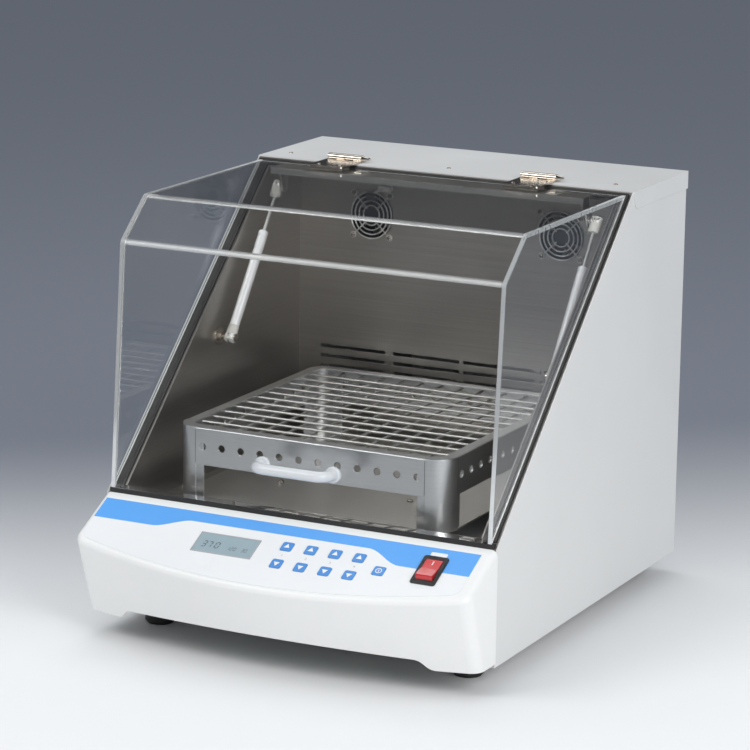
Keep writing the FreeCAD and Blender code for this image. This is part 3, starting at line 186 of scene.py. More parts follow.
def vector_calculate(tree, operation, first, second, result="Vector"):
    node = tree.nodes.new("ShaderNodeVectorMath")
    node.operation = operation
    feed(tree, node.inputs[0], first)
    feed(tree, node.inputs[1], second)
    return node.outputs[result]


def weighted_sum(tree, first, first_weight, second, second_weight):
    first_part = calculate(tree, "MULTIPLY", first, first_weight)
    second_part = calculate(tree, "MULTIPLY", second, second_weight)
    return calculate(tree, "ADD", first_part, second_part)


def stretch_range(tree, value, low, high, curve="LINEAR"):
    node = tree.nodes.new("ShaderNodeMapRange")
    node.interpolation_type = curve
    for socket, number in zip(node.inputs, (value, low, high, 0.0, 1.0)):
        feed(tree, socket, number)
    return node.outputs[0]


def mix_colours(tree, factor, first, second):
    node = tree.nodes.new("ShaderNodeMix")
    node.data_type = "RGBA"
    feed(tree, node.inputs[0], factor)
    feed(tree, node.inputs[6], first)
    feed(tree, node.inputs[7], second)
    return node.outputs[2]


def noise(tree, vector, scale, detail):
    node = tree.nodes.new("ShaderNodeTexNoise")
    feed(tree, node.inputs["Vector"], vector)
    feed(tree, node.inputs["Scale"], scale)
    feed(tree, node.inputs["Detail"], detail)
    return node.outputs[0]


def shader_group(name, takes, gives):
    tree = bpy.data.node_groups.new(name, "ShaderNodeTree")
    for label, kind in takes.items():
        tree.interface.new_socket(label, in_out="INPUT", socket_type="NodeSocket" + kind)
    for label, kind in gives.items():
        tree.interface.new_socket(label, in_out="OUTPUT", socket_type="NodeSocket" + kind)
    taken = tree.nodes.new("NodeGroupInput").outputs
    given = tree.nodes.new("NodeGroupOutput").inputs
    return tree, taken, given


def use_group(tree, group, values):
    node = tree.nodes.new("ShaderNodeGroup")
    node.node_tree = group
    for label, value in values.items():
        feed(tree, node.inputs[label], value)
    return node.outputs


# Shared surface effects

PATTERN_TAKES = {"Vector": "Vector", "Light": "Color", "Dark": "Color", "Roughness": "Float",
                 "Spread": "Float"}
PATTERN_GIVES = {"Color": "Color", "Roughness": "Float", "Height": "Float"}


def brushed_lines():
    tree, taken, given = shader_group("brushed_lines", {**PATTERN_TAKES, "Stretch": "Vector"}, PATTERN_GIVES)
    parts = tree.nodes.new("ShaderNodeSeparateXYZ")
    feed(tree, parts.inputs[0], taken["Vector"])
    turned = tree.nodes.new("ShaderNodeCombineXYZ")
    for socket, axis in zip(turned.inputs, "YXZ"):
        feed(tree, socket, parts.outputs[axis])
    normal = tree.nodes.new("ShaderNodeNewGeometry").outputs["Normal"]
    sideways = vector_calculate(tree, "DOT_PRODUCT", normal, (1, 0, 0), "Value")
    on_side = calculate(tree, "GREATER_THAN", calculate(tree, "ABSOLUTE", sideways), 0.7)
    along = mix_colours(tree, on_side, taken["Vector"], turned.outputs[0])
    drawn = vector_calculate(tree, "MULTIPLY", along, taken["Stretch"])
    lines = stretch_range(tree, noise(tree, drawn, 1.0, 6.0), 0.25, 0.75)
    clouds = stretch_range(tree, noise(tree, taken["Vector"], 7.0, 3.0), 0.3, 0.7)
    share = weighted_sum(tree, lines, 0.6, clouds, 0.4)
    rough = calculate(tree, "MULTIPLY", calculate(tree, "SUBTRACT", share, 0.5), taken["Spread"])
    feed(tree, given["Color"], mix_colours(tree, share, taken["Dark"], taken["Light"]))
    feed(tree, given["Roughness"], calculate(tree, "ADD", taken["Roughness"], rough))
    feed(tree, given["Height"], lines)
    return tree


def fine_texture():
    tree, taken, given = shader_group("fine_texture", {**PATTERN_TAKES, "Scale": "Float"}, PATTERN_GIVES)
    grain = stretch_range(tree, noise(tree, taken["Vector"], taken["Scale"], 2.0), 0.3, 0.7)
    clouds = stretch_range(tree, noise(tree, taken["Vector"], 6.0, 4.0), 0.3, 0.7)
    share = weighted_sum(tree, grain, 0.3, clouds, 0.7)
    rough = calculate(tree, "MULTIPLY", calculate(tree, "SUBTRACT", share, 0.5), taken["Spread"])
    feed(tree, given["Color"], mix_colours(tree, share, taken["Dark"], taken["Light"]))
    feed(tree, given["Roughness"], calculate(tree, "ADD", taken["Roughness"], rough))
    feed(tree, given["Height"], grain)
    return tree


# Edge mask from the Bevel node. It lightens edges toward a paler colour, which is partly real rubbing and
# partly a painted highlight where edges catch light.
def worn_edges():
    takes = {"Vector": "Vector", "Radius": "Float", "Amount": "Float"}
    tree, taken, given = shader_group("worn_edges", takes, {"Mask": "Float", "Normal": "Vector"})
    bevel = tree.nodes.new("ShaderNodeBevel")
    bevel.samples = 4
    feed(tree, bevel.inputs["Radius"], taken["Radius"])
    plain = tree.nodes.new("ShaderNodeNewGeometry").outputs["Normal"]
    facing = vector_calculate(tree, "DOT_PRODUCT", bevel.outputs[0], plain, "Value")
    edge = stretch_range(tree, calculate(tree, "SUBTRACT", 1.0, facing), 0.02, 0.25)
    patches = stretch_range(tree, noise(tree, taken["Vector"], 60.0, 4.0), 0.35, 0.65)
    mask = calculate(tree, "MULTIPLY", calculate(tree, "MULTIPLY", edge, patches), taken["Amount"])
    feed(tree, given["Mask"], mask)
    feed(tree, given["Normal"], bevel.outputs[0])
    return tree


def settled_dust():
    takes = {"Vector": "Vector", "Amount": "Float"}
    tree, taken, given = shader_group("settled_dust", takes, {"Mask": "Float"})
    normal = tree.nodes.new("ShaderNodeNewGeometry").outputs["Normal"]
    upward = vector_calculate(tree, "DOT_PRODUCT", normal, (0, 0, 1), "Value")
    lying = stretch_range(tree, upward, 0.2, 1.0)
    specks = stretch_range(tree, noise(tree, taken["Vector"], 45.0, 6.0), 0.4, 0.8)
    mask = calculate(tree, "MULTIPLY", calculate(tree, "MULTIPLY", lying, specks), taken["Amount"])
    feed(tree, given["Mask"], mask)
    return tree


BRUSHED = brushed_lines()
TEXTURE = fine_texture()
EDGES = worn_edges()
DUST = settled_dust()


# Finishes

def blank_material(name):
    material = bpy.data.materials.new(name)
    material.use_nodes = True
    tree = material.node_tree
    shader = tree.nodes["Principled BSDF"]
    place = tree.nodes.new("ShaderNodeTexCoord").outputs["Object"]
    return material, tree, shader, place


def raise_surface(tree, shader, height, strength, depth, normal=None):
    bump = tree.nodes.new("ShaderNodeBump")
    bump.inputs["Strength"].default_value = strength
    bump.inputs["Distance"].default_value = depth
    tree.links.new(height, bump.inputs["Height"])
    if normal:
        tree.links.new(normal, bump.inputs["Normal"])
    tree.links.new(bump.outputs[0], shader.inputs["Normal"])


def finish(name, group, pattern, sockets, bump=0.1, depth=0.1 * MM, round_over=0.5 * MM, wear_and_highlight=0.0,
           worn_and_lit=(0.6, 0.6, 0.6, 1), dust=0.0):
    material, tree, shader, place = blank_material(name)
    surface = use_group(tree, group, {"Vector": place, **pattern})
    edges = use_group(tree, EDGES, {"Vector": place, "Radius": round_over, "Amount": wear_and_highlight})
    # Edges take the paler colour: real rubbing together with a painted edge highlight.
    colour = mix_colours(tree, edges["Mask"], surface["Color"], worn_and_lit)
    film = use_group(tree, DUST, {"Vector": place, "Amount": dust})
    colour = mix_colours(tree, film["Mask"], colour, DUST_COLOUR)
    tree.links.new(colour, shader.inputs["Base Color"])
    tree.links.new(surface["Roughness"], shader.inputs["Roughness"])
    for label, value in sockets.items():
        shader.inputs[label].default_value = value
    raise_surface(tree, shader, surface["Height"], bump, depth, edges["Normal"])
    return material


def tones(light, dark, roughness, spread, **more):
    return {"Light": (*light, 1), "Dark": (*dark, 1), "Roughness": roughness, "Spread": spread, **more}


def painted_steel():
    pattern = tones((0.70, 0.70, 0.695), (0.655, 0.655, 0.65), 0.42, 0.10, Scale=900.0)
    return finish("painted_steel", TEXTURE, pattern, {"IOR": 1.5}, bump=0.12, depth=0.05 * MM, wear_and_highlight=0.35,
                  worn_and_lit=(0.80, 0.80, 0.79, 1), dust=0.05)


def brushed_stainless():
    pattern = tones((0.50, 0.475, 0.445), (0.38, 0.36, 0.34), 0.36, 0.10, Stretch=(5, 620, 620))
    return finish("brushed_stainless", BRUSHED, pattern, {"Metallic": 1.0}, bump=0.12, depth=0.02 * MM,
                  wear_and_highlight=0.7, worn_and_lit=(0.82, 0.80, 0.77, 1))


# A lighter copy of the brushed stainless: a painted highlight and reflection, used on the rack base and the
# lid stiffener.
def bright_sheet():
    pattern = tones((0.72, 0.70, 0.67), (0.58, 0.565, 0.54), 0.36, 0.12, Stretch=(5, 480, 480))
    return finish("bright_sheet", BRUSHED, pattern, {"Metallic": 1.0}, bump=0.10, depth=0.02 * MM, wear_and_highlight=0.6,
                  worn_and_lit=(0.86, 0.85, 0.83, 1))


# Painted highlight: the edge mask at full strength turns the rails' rounded edges near white, standing in for
# the lit top lip.
def satin_aluminium():
    pattern = tones((0.66, 0.665, 0.675), (0.54, 0.545, 0.555), 0.36, 0.08, Stretch=(25, 25, 900))
    return finish("satin_aluminium", BRUSHED, pattern, {"Metallic": 1.0}, bump=0.08, depth=0.02 * MM,
                  round_over=1.2 * MM, wear_and_highlight=1.0, worn_and_lit=(0.95, 0.95, 0.95, 1))


def drawn_wire():
    pattern = tones((0.66, 0.65, 0.63), (0.52, 0.51, 0.49), 0.44, 0.10, Stretch=(300, 300, 300))
    return finish("drawn_wire", BRUSHED, pattern, {"Metallic": 1.0}, bump=0.05, depth=0.02 * MM,
                  round_over=0.2 * MM)


def nickel_plate():
    pattern = tones((0.80, 0.74, 0.66), (0.62, 0.56, 0.49), 0.20, 0.12, Scale=260.0)
    return finish("nickel_plate", TEXTURE, pattern, {"Metallic": 1.0}, bump=0.06, depth=0.03 * MM,
                  round_over=0.3 * MM, wear_and_highlight=0.5, worn_and_lit=(0.86, 0.82, 0.75, 1))


def silver_lacquer():
    pattern = tones((0.86, 0.86, 0.87), (0.79, 0.79, 0.80), 0.32, 0.08, Scale=700.0)
    sockets = {"Metallic": 0.3, "Coat Weight": 0.3, "Coat Roughness": 0.15}
    return finish("silver_lacquer", TEXTURE, pattern, sockets, bump=0.05, depth=0.03 * MM,
                  round_over=0.4 * MM)


def polished_rod():
    pattern = tones((0.86, 0.86, 0.85), (0.76, 0.76, 0.75), 0.30, 0.06, Stretch=(40, 600, 600))
    return finish("polished_rod", BRUSHED, pattern, {"Metallic": 1.0}, bump=0.04, depth=0.01 * MM,
                  round_over=0.3 * MM)


def socket_plastic():
    pattern = tones((0.60, 0.585, 0.545), (0.52, 0.505, 0.465), 0.40, 0.10, Scale=600.0)
    return finish("socket_plastic", TEXTURE, pattern, {"IOR": 1.5}, bump=0.12, depth=0.05 * MM,
                  round_over=0.5 * MM, wear_and_highlight=0.3, worn_and_lit=(0.72, 0.71, 0.68, 1))


def black_rubber():
    pattern = tones((0.030, 0.029, 0.028), (0.014, 0.0135, 0.013), 0.55, 0.16, Scale=420.0)
    return finish("black_rubber", TEXTURE, pattern, {"IOR": 1.5}, bump=0.25, depth=0.08 * MM,
                  round_over=0.5 * MM, wear_and_highlight=0.25, worn_and_lit=(0.09, 0.088, 0.085, 1), dust=0.05)


def moulded_white():
    pattern = tones((0.84, 0.84, 0.83), (0.80, 0.80, 0.79), 0.36, 0.08, Scale=1100.0)
    sockets = {"IOR": 1.49, "Subsurface Weight": 0.05, "Subsurface Scale": 0.002}
    return finish("moulded_white", TEXTURE, pattern, sockets, bump=0.10, depth=0.04 * MM, round_over=0.6 * MM,
                  wear_and_highlight=0.15, worn_and_lit=(0.88, 0.88, 0.87, 1))


def milky_plastic():
    pattern = tones((0.66, 0.68, 0.70), (0.60, 0.62, 0.645), 0.22, 0.08, Scale=500.0)
    sockets = {"IOR": 1.49, "Coat Weight": 0.4, "Coat Roughness": 0.08, "Subsurface Weight": 0.2,
               "Subsurface Scale": 0.004}
    return finish("milky_plastic", TEXTURE, pattern, sockets, bump=0.06, depth=0.04 * MM, round_over=0.6 * MM,
                  wear_and_highlight=0.2, worn_and_lit=(0.80, 0.81, 0.82, 1))


def printed_film():
    pattern = tones((0.83, 0.84, 0.85), (0.80, 0.81, 0.82), 0.30, 0.08, Scale=1500.0)
    return finish("printed_film", TEXTURE, pattern, {"IOR": 1.5}, bump=0.10, depth=0.02 * MM,
                  round_over=0.2 * MM)


def blue_print():
    pattern = tones((0.115, 0.395, 0.88), (0.095, 0.355, 0.82), 0.30, 0.08, Scale=1500.0)
    return finish("blue_print", TEXTURE, pattern, {"IOR": 1.5}, bump=0.10, depth=0.02 * MM,
                  round_over=0.1 * MM)


def blue_key_caps():
    pattern = tones((0.085, 0.30, 0.70), (0.07, 0.25, 0.62), 0.28, 0.08, Scale=1500.0)
    sockets = {"IOR": 1.5, "Coat Weight": 0.2}
    return finish("blue_key_caps", TEXTURE, pattern, sockets, bump=0.10, depth=0.02 * MM, round_over=0.4 * MM,
                  wear_and_highlight=0.4, worn_and_lit=(0.16, 0.42, 0.85, 1))


def white_print():
    pattern = tones((0.86, 0.86, 0.86), (0.82, 0.82, 0.82), 0.34, 0.06, Scale=1500.0)
    return finish("white_print", TEXTURE, pattern, {"IOR": 1.5}, bump=0.05, depth=0.02 * MM,
                  round_over=0.05 * MM)


def grey_print():
    pattern = tones((0.42, 0.43, 0.45), (0.36, 0.37, 0.39), 0.36, 0.06, Scale=1500.0)
    return finish("grey_print", TEXTURE, pattern, {"IOR": 1.5}, bump=0.05, depth=0.02 * MM,
                  round_over=0.05 * MM)


def display_glass():
    pattern = tones((0.38, 0.475, 0.525), (0.325, 0.42, 0.46), 0.12, 0.04, Stretch=(1200, 40, 40))
    sockets = {"Coat Weight": 1.0, "Coat Roughness": 0.04}
    return finish("display_glass", BRUSHED, pattern, sockets, bump=0.03, depth=0.01 * MM, round_over=0.2 * MM)


def display_digits():
    pattern = tones((0.10, 0.13, 0.16), (0.06, 0.08, 0.10), 0.30, 0.05, Scale=900.0)
    return finish("display_digits", TEXTURE, pattern, {"IOR": 1.5}, bump=0.02, depth=0.01 * MM,
                  round_over=0.05 * MM)


def black_moulding():
    pattern = tones((0.030, 0.030, 0.031), (0.016, 0.016, 0.017), 0.38, 0.12, Scale=700.0)
    return finish("black_moulding", TEXTURE, pattern, {"IOR": 1.5}, bump=0.15, depth=0.04 * MM,
                  round_over=0.4 * MM, wear_and_highlight=0.3, worn_and_lit=(0.10, 0.10, 0.10, 1), dust=0.04)


def red_lens():
    pattern = tones((0.62, 0.030, 0.035), (0.46, 0.016, 0.020), 0.14, 0.06, Scale=500.0)
    sockets = {"IOR": 1.5, "Coat Weight": 0.6, "Coat Roughness": 0.05, "Subsurface Weight": 0.1,
               "Subsurface Scale": 0.003}
    return finish("red_lens", TEXTURE, pattern, sockets, bump=0.03, depth=0.02 * MM, round_over=0.5 * MM,
                  wear_and_highlight=0.4, worn_and_lit=(0.80, 0.16, 0.15, 1))


def green_board():
    pattern = tones((0.05, 0.24, 0.10), (0.03, 0.16, 0.07), 0.35, 0.15, Scale=300.0)
    return finish("green_board", TEXTURE, pattern, {"IOR": 1.5}, bump=0.2, depth=0.1 * MM)


def cell_foam():
    pattern = tones((0.66, 0.60, 0.42), (0.52, 0.46, 0.31), 0.85, 0.10, Scale=350.0)
    return finish("cell_foam", TEXTURE, pattern, {"IOR": 1.4}, bump=0.6, depth=0.4 * MM)


def machined_steel():
    pattern = tones((0.46, 0.46, 0.47), (0.34, 0.34, 0.35), 0.34, 0.14, Stretch=(90, 90, 700))
    return finish("machined_steel", BRUSHED, pattern, {"Metallic": 1.0}, bump=0.1, depth=0.03 * MM, wear_and_highlight=0.6,
                  worn_and_lit=(0.70, 0.70, 0.70, 1), dust=0.04)


def cast_alloy():
    pattern = tones((0.62, 0.62, 0.63), (0.50, 0.50, 0.51), 0.42, 0.14, Scale=500.0)
    return finish("cast_alloy", TEXTURE, pattern, {"Metallic": 1.0}, bump=0.25, depth=0.08 * MM, wear_and_highlight=0.6,
                  worn_and_lit=(0.78, 0.78, 0.78, 1), dust=0.05)


def pass_lamp_light(tree, shader, tint):
    clear = tree.nodes.new("ShaderNodeBsdfTransparent")
    clear.inputs["Color"].default_value = tint
    mixer = tree.nodes.new("ShaderNodeMixShader")
    tree.links.new(tree.nodes.new("ShaderNodeLightPath").outputs["Is Shadow Ray"], mixer.inputs[0])
    tree.links.new(shader.outputs[0], mixer.inputs[1])
    tree.links.new(clear.outputs[0], mixer.inputs[2])
    tree.links.new(mixer.outputs[0], tree.nodes["Material Output"].inputs["Surface"])


def acrylic(name, group, pattern, clear, bump, depth, passed):
    material, tree, shader, place = blank_material(name)
    surface = use_group(tree, group, {"Vector": place, **pattern})
    tree.links.new(surface["Color"], shader.inputs["Base Color"])
    tree.links.new(surface["Roughness"], shader.inputs["Roughness"])
    shader.inputs["Transmission Weight"].default_value = clear
    shader.inputs["IOR"].default_value = ACRYLIC_IOR
    raise_surface(tree, shader, surface["Height"], bump, depth)
    pass_lamp_light(tree, shader, passed)
    return material


def clear_acrylic():
    pattern = tones((0.985, 0.99, 0.99), (0.97, 0.98, 0.98), 0.012, 0.02, Scale=8.0)
    return acrylic("clear_acrylic", TEXTURE, pattern, 1.0, 0.02, 0.2 * MM, (0.93, 0.94, 0.94, 1))


# Bend faces: rougher, less clear and whiter than the flat sheet, partly haze from forming and partly a
# painted highlight band along the bends.
def formed_acrylic():
    pattern = tones((0.96, 0.97, 0.97), (0.92, 0.93, 0.93), 0.22, 0.10, Stretch=(20, 300, 300))
    return acrylic("formed_acrylic", BRUSHED, pattern, 0.82, 0.05, 0.1 * MM, (0.88, 0.89, 0.89, 1))


def sawn_acrylic():
    pattern = tones((0.94, 0.95, 0.96), (0.84, 0.86, 0.87), 0.30, 0.14, Stretch=(400, 60, 60))
    return acrylic("sawn_acrylic", BRUSHED, pattern, 0.6, 0.15, 0.1 * MM, (0.85, 0.86, 0.86, 1))


FINISHES = {
    "painted_case": painted_steel(),
    "stainless": brushed_stainless(),
    "rack_aluminium": satin_aluminium(),
    "wire_steel": drawn_wire(),
    "hardware": nickel_plate(),
    "strut_tube": silver_lacquer(),
    "strut_rod": polished_rod(),
    "gasket": black_rubber(),
    "clear_acrylic": clear_acrylic(),
    "white_plastic": moulded_white(),
    "overlay": printed_film(),
    "display": display_glass(),
    "blue_keys": blue_key_caps(),
    "black_plastic": black_moulding(),
    "red_rocker": red_lens(),
    "circuit": green_board(),
    "foam": cell_foam(),
    "drive_steel": machined_steel(),
    "drive_alloy": cast_alloy(),
}
SHEET_WITH_PAINTED_HIGHLIGHT = bright_sheet()
# The rack base and lid stiffener take the lighter stainless copy as a painted highlight and reflection.
NODE_FINISHES = {
    "rack_base": SHEET_WITH_PAINTED_HIGHLIGHT,
    "lid_stiffener": SHEET_WITH_PAINTED_HIGHLIGHT,
    "fan_guards": FINISHES["strut_rod"],
    "lid_handle": milky_plastic(),
}
FORMED_BEND = formed_acrylic()
SAWN_EDGE = sawn_acrylic()
SOCKET_PLASTIC = socket_plastic()
BLUE_PRINT = blue_print()
WHITE_PRINT = white_print()
GREY_PRINT = grey_print()
DIGITS = display_digits()


def dress_solids():
    for subpart in frame["record"]["subparts"]:
        node = frame["nodes"][subpart["node"]]
        material = NODE_FINISHES.get(subpart["node"], FINISHES[subpart["material_slot"]])
        if node.material_slots:
            for slot in node.material_slots:
                slot.material = material
        else:
            node.data.materials.append(material)


# Mesh helpers

def verts_of(geometry):
    return [item for item in geometry if isinstance(item, bmesh.types.BMVert)]


def faces_of(verts):
    return {face for vert in verts for face in vert.link_faces}


def soften(mesh, offset, limit=math.radians(30), segments=2):
    sharp = [edge for edge in mesh.edges if edge.calc_face_angle(0) > limit]
    bmesh.ops.bevel(mesh, geom=sharp, offset=offset, offset_type="OFFSET", segments=segments, profile=0.5,
                    affect="EDGES", material=-1, clamp_overlap=True)


def lift(mesh, face_list, vector):
    raised = bmesh.ops.extrude_face_region(mesh, geom=face_list)["geom"]
    bmesh.ops.translate(mesh, verts=verts_of(raised), vec=vector)
    bmesh.ops.recalc_face_normals(mesh, faces=mesh.faces)


def place_mesh(mesh, matrix):
    bmesh.ops.transform(mesh, matrix=matrix, verts=mesh.verts)


def make_piece(name, mesh, body, materials, stands_for=()):
    for face in mesh.faces:
        face.smooth = True
    for edge in mesh.edges:
        edge.smooth = edge.calc_face_angle(math.pi) < math.radians(35)
    data = bpy.data.meshes.new(name)
    mesh.to_mesh(data)
    mesh.free()
    for material in materials:
        data.materials.append(material)
    piece = bpy.data.objects.new(name, data)
    bpy.context.scene.collection.objects.link(piece)
    piece.modifiers.new("even_shading", "WEIGHTED_NORMAL").keep_sharp = True
    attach(piece, body)
    if stands_for:
        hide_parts(*stands_for)
    return piece


def on_panel(x, slope, height):
    return PANEL @ Matrix.Translation((x, -slope, height))


# Clear hood

def bend_turns():
    turns = {}
    for before, bend, after in zip(HOOD_OUTLINE, HOOD_OUTLINE[1:], HOOD_OUTLINE[2:]):
        arriving = Vector(bend) - Vector(before)
        leaving = Vector(after) - Vector(bend)
        turns[bend] = arriving.angle(leaving)
    return turns


def at_bend(vert, bend):
    return math.hypot(vert.co.y - bend[0], vert.co.z - bend[1]) < 0.1 * MM


def trim_to_rim(mesh):
    plane = RIM @ Vector((0, 0, HOOD_SEAT))
    normal = RIM.to_3x3() @ Vector((0, 0, 1))
    everything = mesh.verts[:] + mesh.edges[:] + mesh.faces[:]
    bmesh.ops.bisect_plane(mesh, geom=everything, plane_co=plane, plane_no=normal, clear_inner=True)
    bmesh.ops.holes_fill(mesh, edges=[edge for edge in mesh.edges if edge.is_boundary])
    bmesh.ops.recalc_face_normals(mesh, faces=mesh.faces)


def bent_sheet():
    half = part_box("hood_shell")[1].x - CEMENT_GAP
    mesh = bmesh.new()
    column = [mesh.verts.new((-half, y, z)) for y, z in HOOD_OUTLINE]
    runs = [mesh.edges.new(pair) for pair in zip(column, column[1:])]
    swept = bmesh.ops.extrude_edge_only(mesh, edges=runs)["geom"]
    bmesh.ops.translate(mesh, verts=verts_of(swept), vec=(2 * half, 0, 0))
    for bend, turn in bend_turns().items():
        crease = [edge for edge in mesh.edges if all(at_bend(vert, bend) for vert in edge.verts)]
        setback = HOOD_BEND_R * math.tan(turn / 2)
        formed = bmesh.ops.bevel(mesh, geom=crease, offset=setback, offset_type="OFFSET", segments=BEND_STEPS,
                                 profile=0.5, affect="EDGES", material=-1)["faces"]
        for face in formed:
            face.material_index = FORMED_FACE
    bmesh.ops.recalc_face_normals(mesh, faces=mesh.faces)
    if sum(face.normal.y for face in mesh.faces) > 0:
        bmesh.ops.reverse_faces(mesh, faces=mesh.faces)
    bmesh.ops.solidify(mesh, geom=mesh.faces, thickness=HOOD_SHEET)
    trim_to_rim(mesh)
    for face in mesh.faces:
        if abs(face.normal.x) > 0.9:
            face.material_index = SAWN_FACE
    soften(mesh, SAWN_EDGE_BEVEL)
    finishes = [FINISHES["clear_acrylic"], SAWN_EDGE, FORMED_BEND]
    make_piece("hood_bent_sheet", mesh, "lid", finishes, ("hood_shell",))


def flat_sides():
    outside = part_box("hood_sides")[1].x
    mesh = bmesh.new()
    corners = [mesh.verts.new((outside - HOOD_SHEET, y, z)) for y, z in HOOD_OUTLINE]
    mesh.faces.new(corners)
    for bend, turn in bend_turns().items():
        corner = [vert for vert in mesh.verts if at_bend(vert, bend)]
        setback = HOOD_BEND_R * math.tan(turn / 2)
        bmesh.ops.bevel(mesh, geom=corner, offset=setback, offset_type="OFFSET", segments=BEND_STEPS,
                        profile=0.5, affect="VERTICES", material=-1)
    lift(mesh, mesh.faces[:], (HOOD_SHEET, 0, 0))
    trim_to_rim(mesh)
    for face in mesh.faces:
        face.material_index = CLEAR_FACE if abs(face.normal.x) > 0.9 else SAWN_FACE
    soften(mesh, SAWN_EDGE_BEVEL)
    bmesh.ops.mirror(mesh, geom=mesh.verts[:] + mesh.edges[:] + mesh.faces[:], axis="X", merge_dist=0.0)
    bmesh.ops.recalc_face_normals(mesh, faces=mesh.faces)
    make_piece("hood_flat_sides", mesh, "lid", [FINISHES["clear_acrylic"], SAWN_EDGE],
               ("hood_sides",))


# Control panel print

def smooth_between(value, limits):
    share = min(max((value - limits[0]) / (limits[1] - limits[0]), 0.0), 1.0)
    return share * share * (3 - 2 * share)


def band_low(x):
    rise = (BAND_LEFT_LOW - BAND_MIDDLE_LOW) * smooth_between(x, BAND_LEFT_BEND)
    fall = (BAND_RIGHT_LOW - BAND_MIDDLE_LOW) * smooth_between(x, BAND_RIGHT_BEND)
    return BAND_LEFT_LOW - rise + fall


def blue_band():
    mesh = bmesh.new()
    bmesh.ops.create_grid(mesh, x_segments=BAND_STEPS, y_segments=1, size=0.5)
    for vert in mesh.verts:
        x = BAND_LEFT_X + (vert.co.x + 0.5) * (BAND_RIGHT_X - BAND_LEFT_X)
        slope = BAND_TOP if vert.co.y > 0 else band_low(x)
        vert.co = (x, -slope, FILM)
    lift(mesh, mesh.faces[:], (0, 0, PRINT))
    place_mesh(mesh, PANEL)
    make_piece("blue_band", mesh, "case", [BLUE_PRINT])


def key_arrow(name, x, slope, turn):
    mesh = bmesh.new()
    bmesh.ops.create_circle(mesh, cap_ends=True, segments=3, radius=ARROW_R)
    bmesh.ops.bevel(mesh, geom=mesh.verts[:], offset=ARROW_CORNER, segments=3, profile=0.5,
                    affect="VERTICES", material=-1)
    lift(mesh, mesh.faces[:], (0, 0, PRINT))
    place_mesh(mesh, on_panel(x, slope, KEY_TOP) @ Matrix.Rotation(turn, 4, "Z"))
    make_piece(name + "_mark", mesh, name + "_body", [WHITE_PRINT])


def start_mark():
    x, slope = START_KEY
    mesh = bmesh.new()
    outer = bmesh.ops.create_circle(mesh, cap_ends=True, segments=40, radius=START_RING_R)["verts"]
    disc = list(faces_of(outer))
    bmesh.ops.inset_region(mesh, faces=disc, thickness=START_LINE, use_boundary=True, use_even_offset=True)
    bmesh.ops.delete(mesh, geom=disc, context="FACES")
    bar = bmesh.ops.create_grid(mesh, x_segments=1, y_segments=1, size=0.5)["verts"]
    bmesh.ops.scale(mesh, verts=bar, vec=(START_LINE, START_BAR, 1))
    lift(mesh, mesh.faces[:], (0, 0, PRINT))
    place_mesh(mesh, on_panel(x, slope, KEY_TOP))
    make_piece("key_start_mark", mesh, "key_start_body", [WHITE_PRINT])


def key_marks():
    for number, x in enumerate(KEY_X, start=1):
        key_arrow("key_up_%d" % number, x, KEY_UP_SLOPE, 0.0)
        key_arrow("key_down_%d" % number, x, KEY_DOWN_SLOPE, math.pi)
    start_mark()


def number_mesh(text, size):
    curve = bpy.data.curves.new("number", "FONT")
    curve.body = text
    curve.size = size
    curve.align_x = "CENTER"
    curve.align_y = "CENTER"
    curve.extrude = PRINT
    carrier = bpy.data.objects.new("number", curve)
    data = bpy.data.meshes.new_from_object(carrier)
    bpy.data.objects.remove(carrier)
    bpy.data.curves.remove(curve)
    return data


def key_numbers():
    mesh = bmesh.new()
    middle = (KEY_UP_SLOPE + KEY_DOWN_SLOPE) / 2
    for number, x in enumerate(KEY_X, start=1):
        data = number_mesh(str(number), KEY_NUMBER_HIGH)
        data.transform(on_panel(x, middle, FILM))
        mesh.from_mesh(data)
        bpy.data.meshes.remove(data)
    make_piece("key_numbers", mesh, "case", [GREY_PRINT])


SEGMENT_PLACES = {"a": (0, 1, 0), "b": (1, 0.5, 1), "c": (1, -0.5, 1), "d": (0, -1, 0), "e": (-1, -0.5, 1),
                  "f": (-1, 0.5, 1), "g": (0, 0, 0)}
LIT_SEGMENTS = {"0": "abcdef", "1": "bc", "2": "abged", "3": "abgcd", "7": "abc"}


def lit_bar(mesh, matrix, length, wide):
    bar = bmesh.ops.create_grid(mesh, x_segments=1, y_segments=1, size=0.5)["verts"]
    bmesh.ops.scale(mesh, verts=bar, vec=(length, wide, 1))
    ends = bmesh.ops.bevel(mesh, geom=bar, offset=wide * 0.45, segments=1, profile=0.5,
                           affect="VERTICES", material=-1)
    bmesh.ops.transform(mesh, matrix=matrix, verts=ends["verts"])


def display_number(mesh, text, x, slope, high):
    wide = high * 0.5
    bar = high * 0.13
    lean = Matrix.Identity(4)
    lean[0][1] = DIGIT_LEAN
    for place, sign in enumerate(text):
        start = on_panel(x + place * high * 0.78, slope, 0.0) @ lean
        for segment in LIT_SEGMENTS[sign]:
            across, up, upright = SEGMENT_PLACES[segment]
            spot = Matrix.Translation((across * wide / 2, up * high / 2, 0))
            lit_bar(mesh, start @ spot @ Matrix.Rotation(upright * math.pi / 2, 4, "Z"), wide * 0.86, bar)


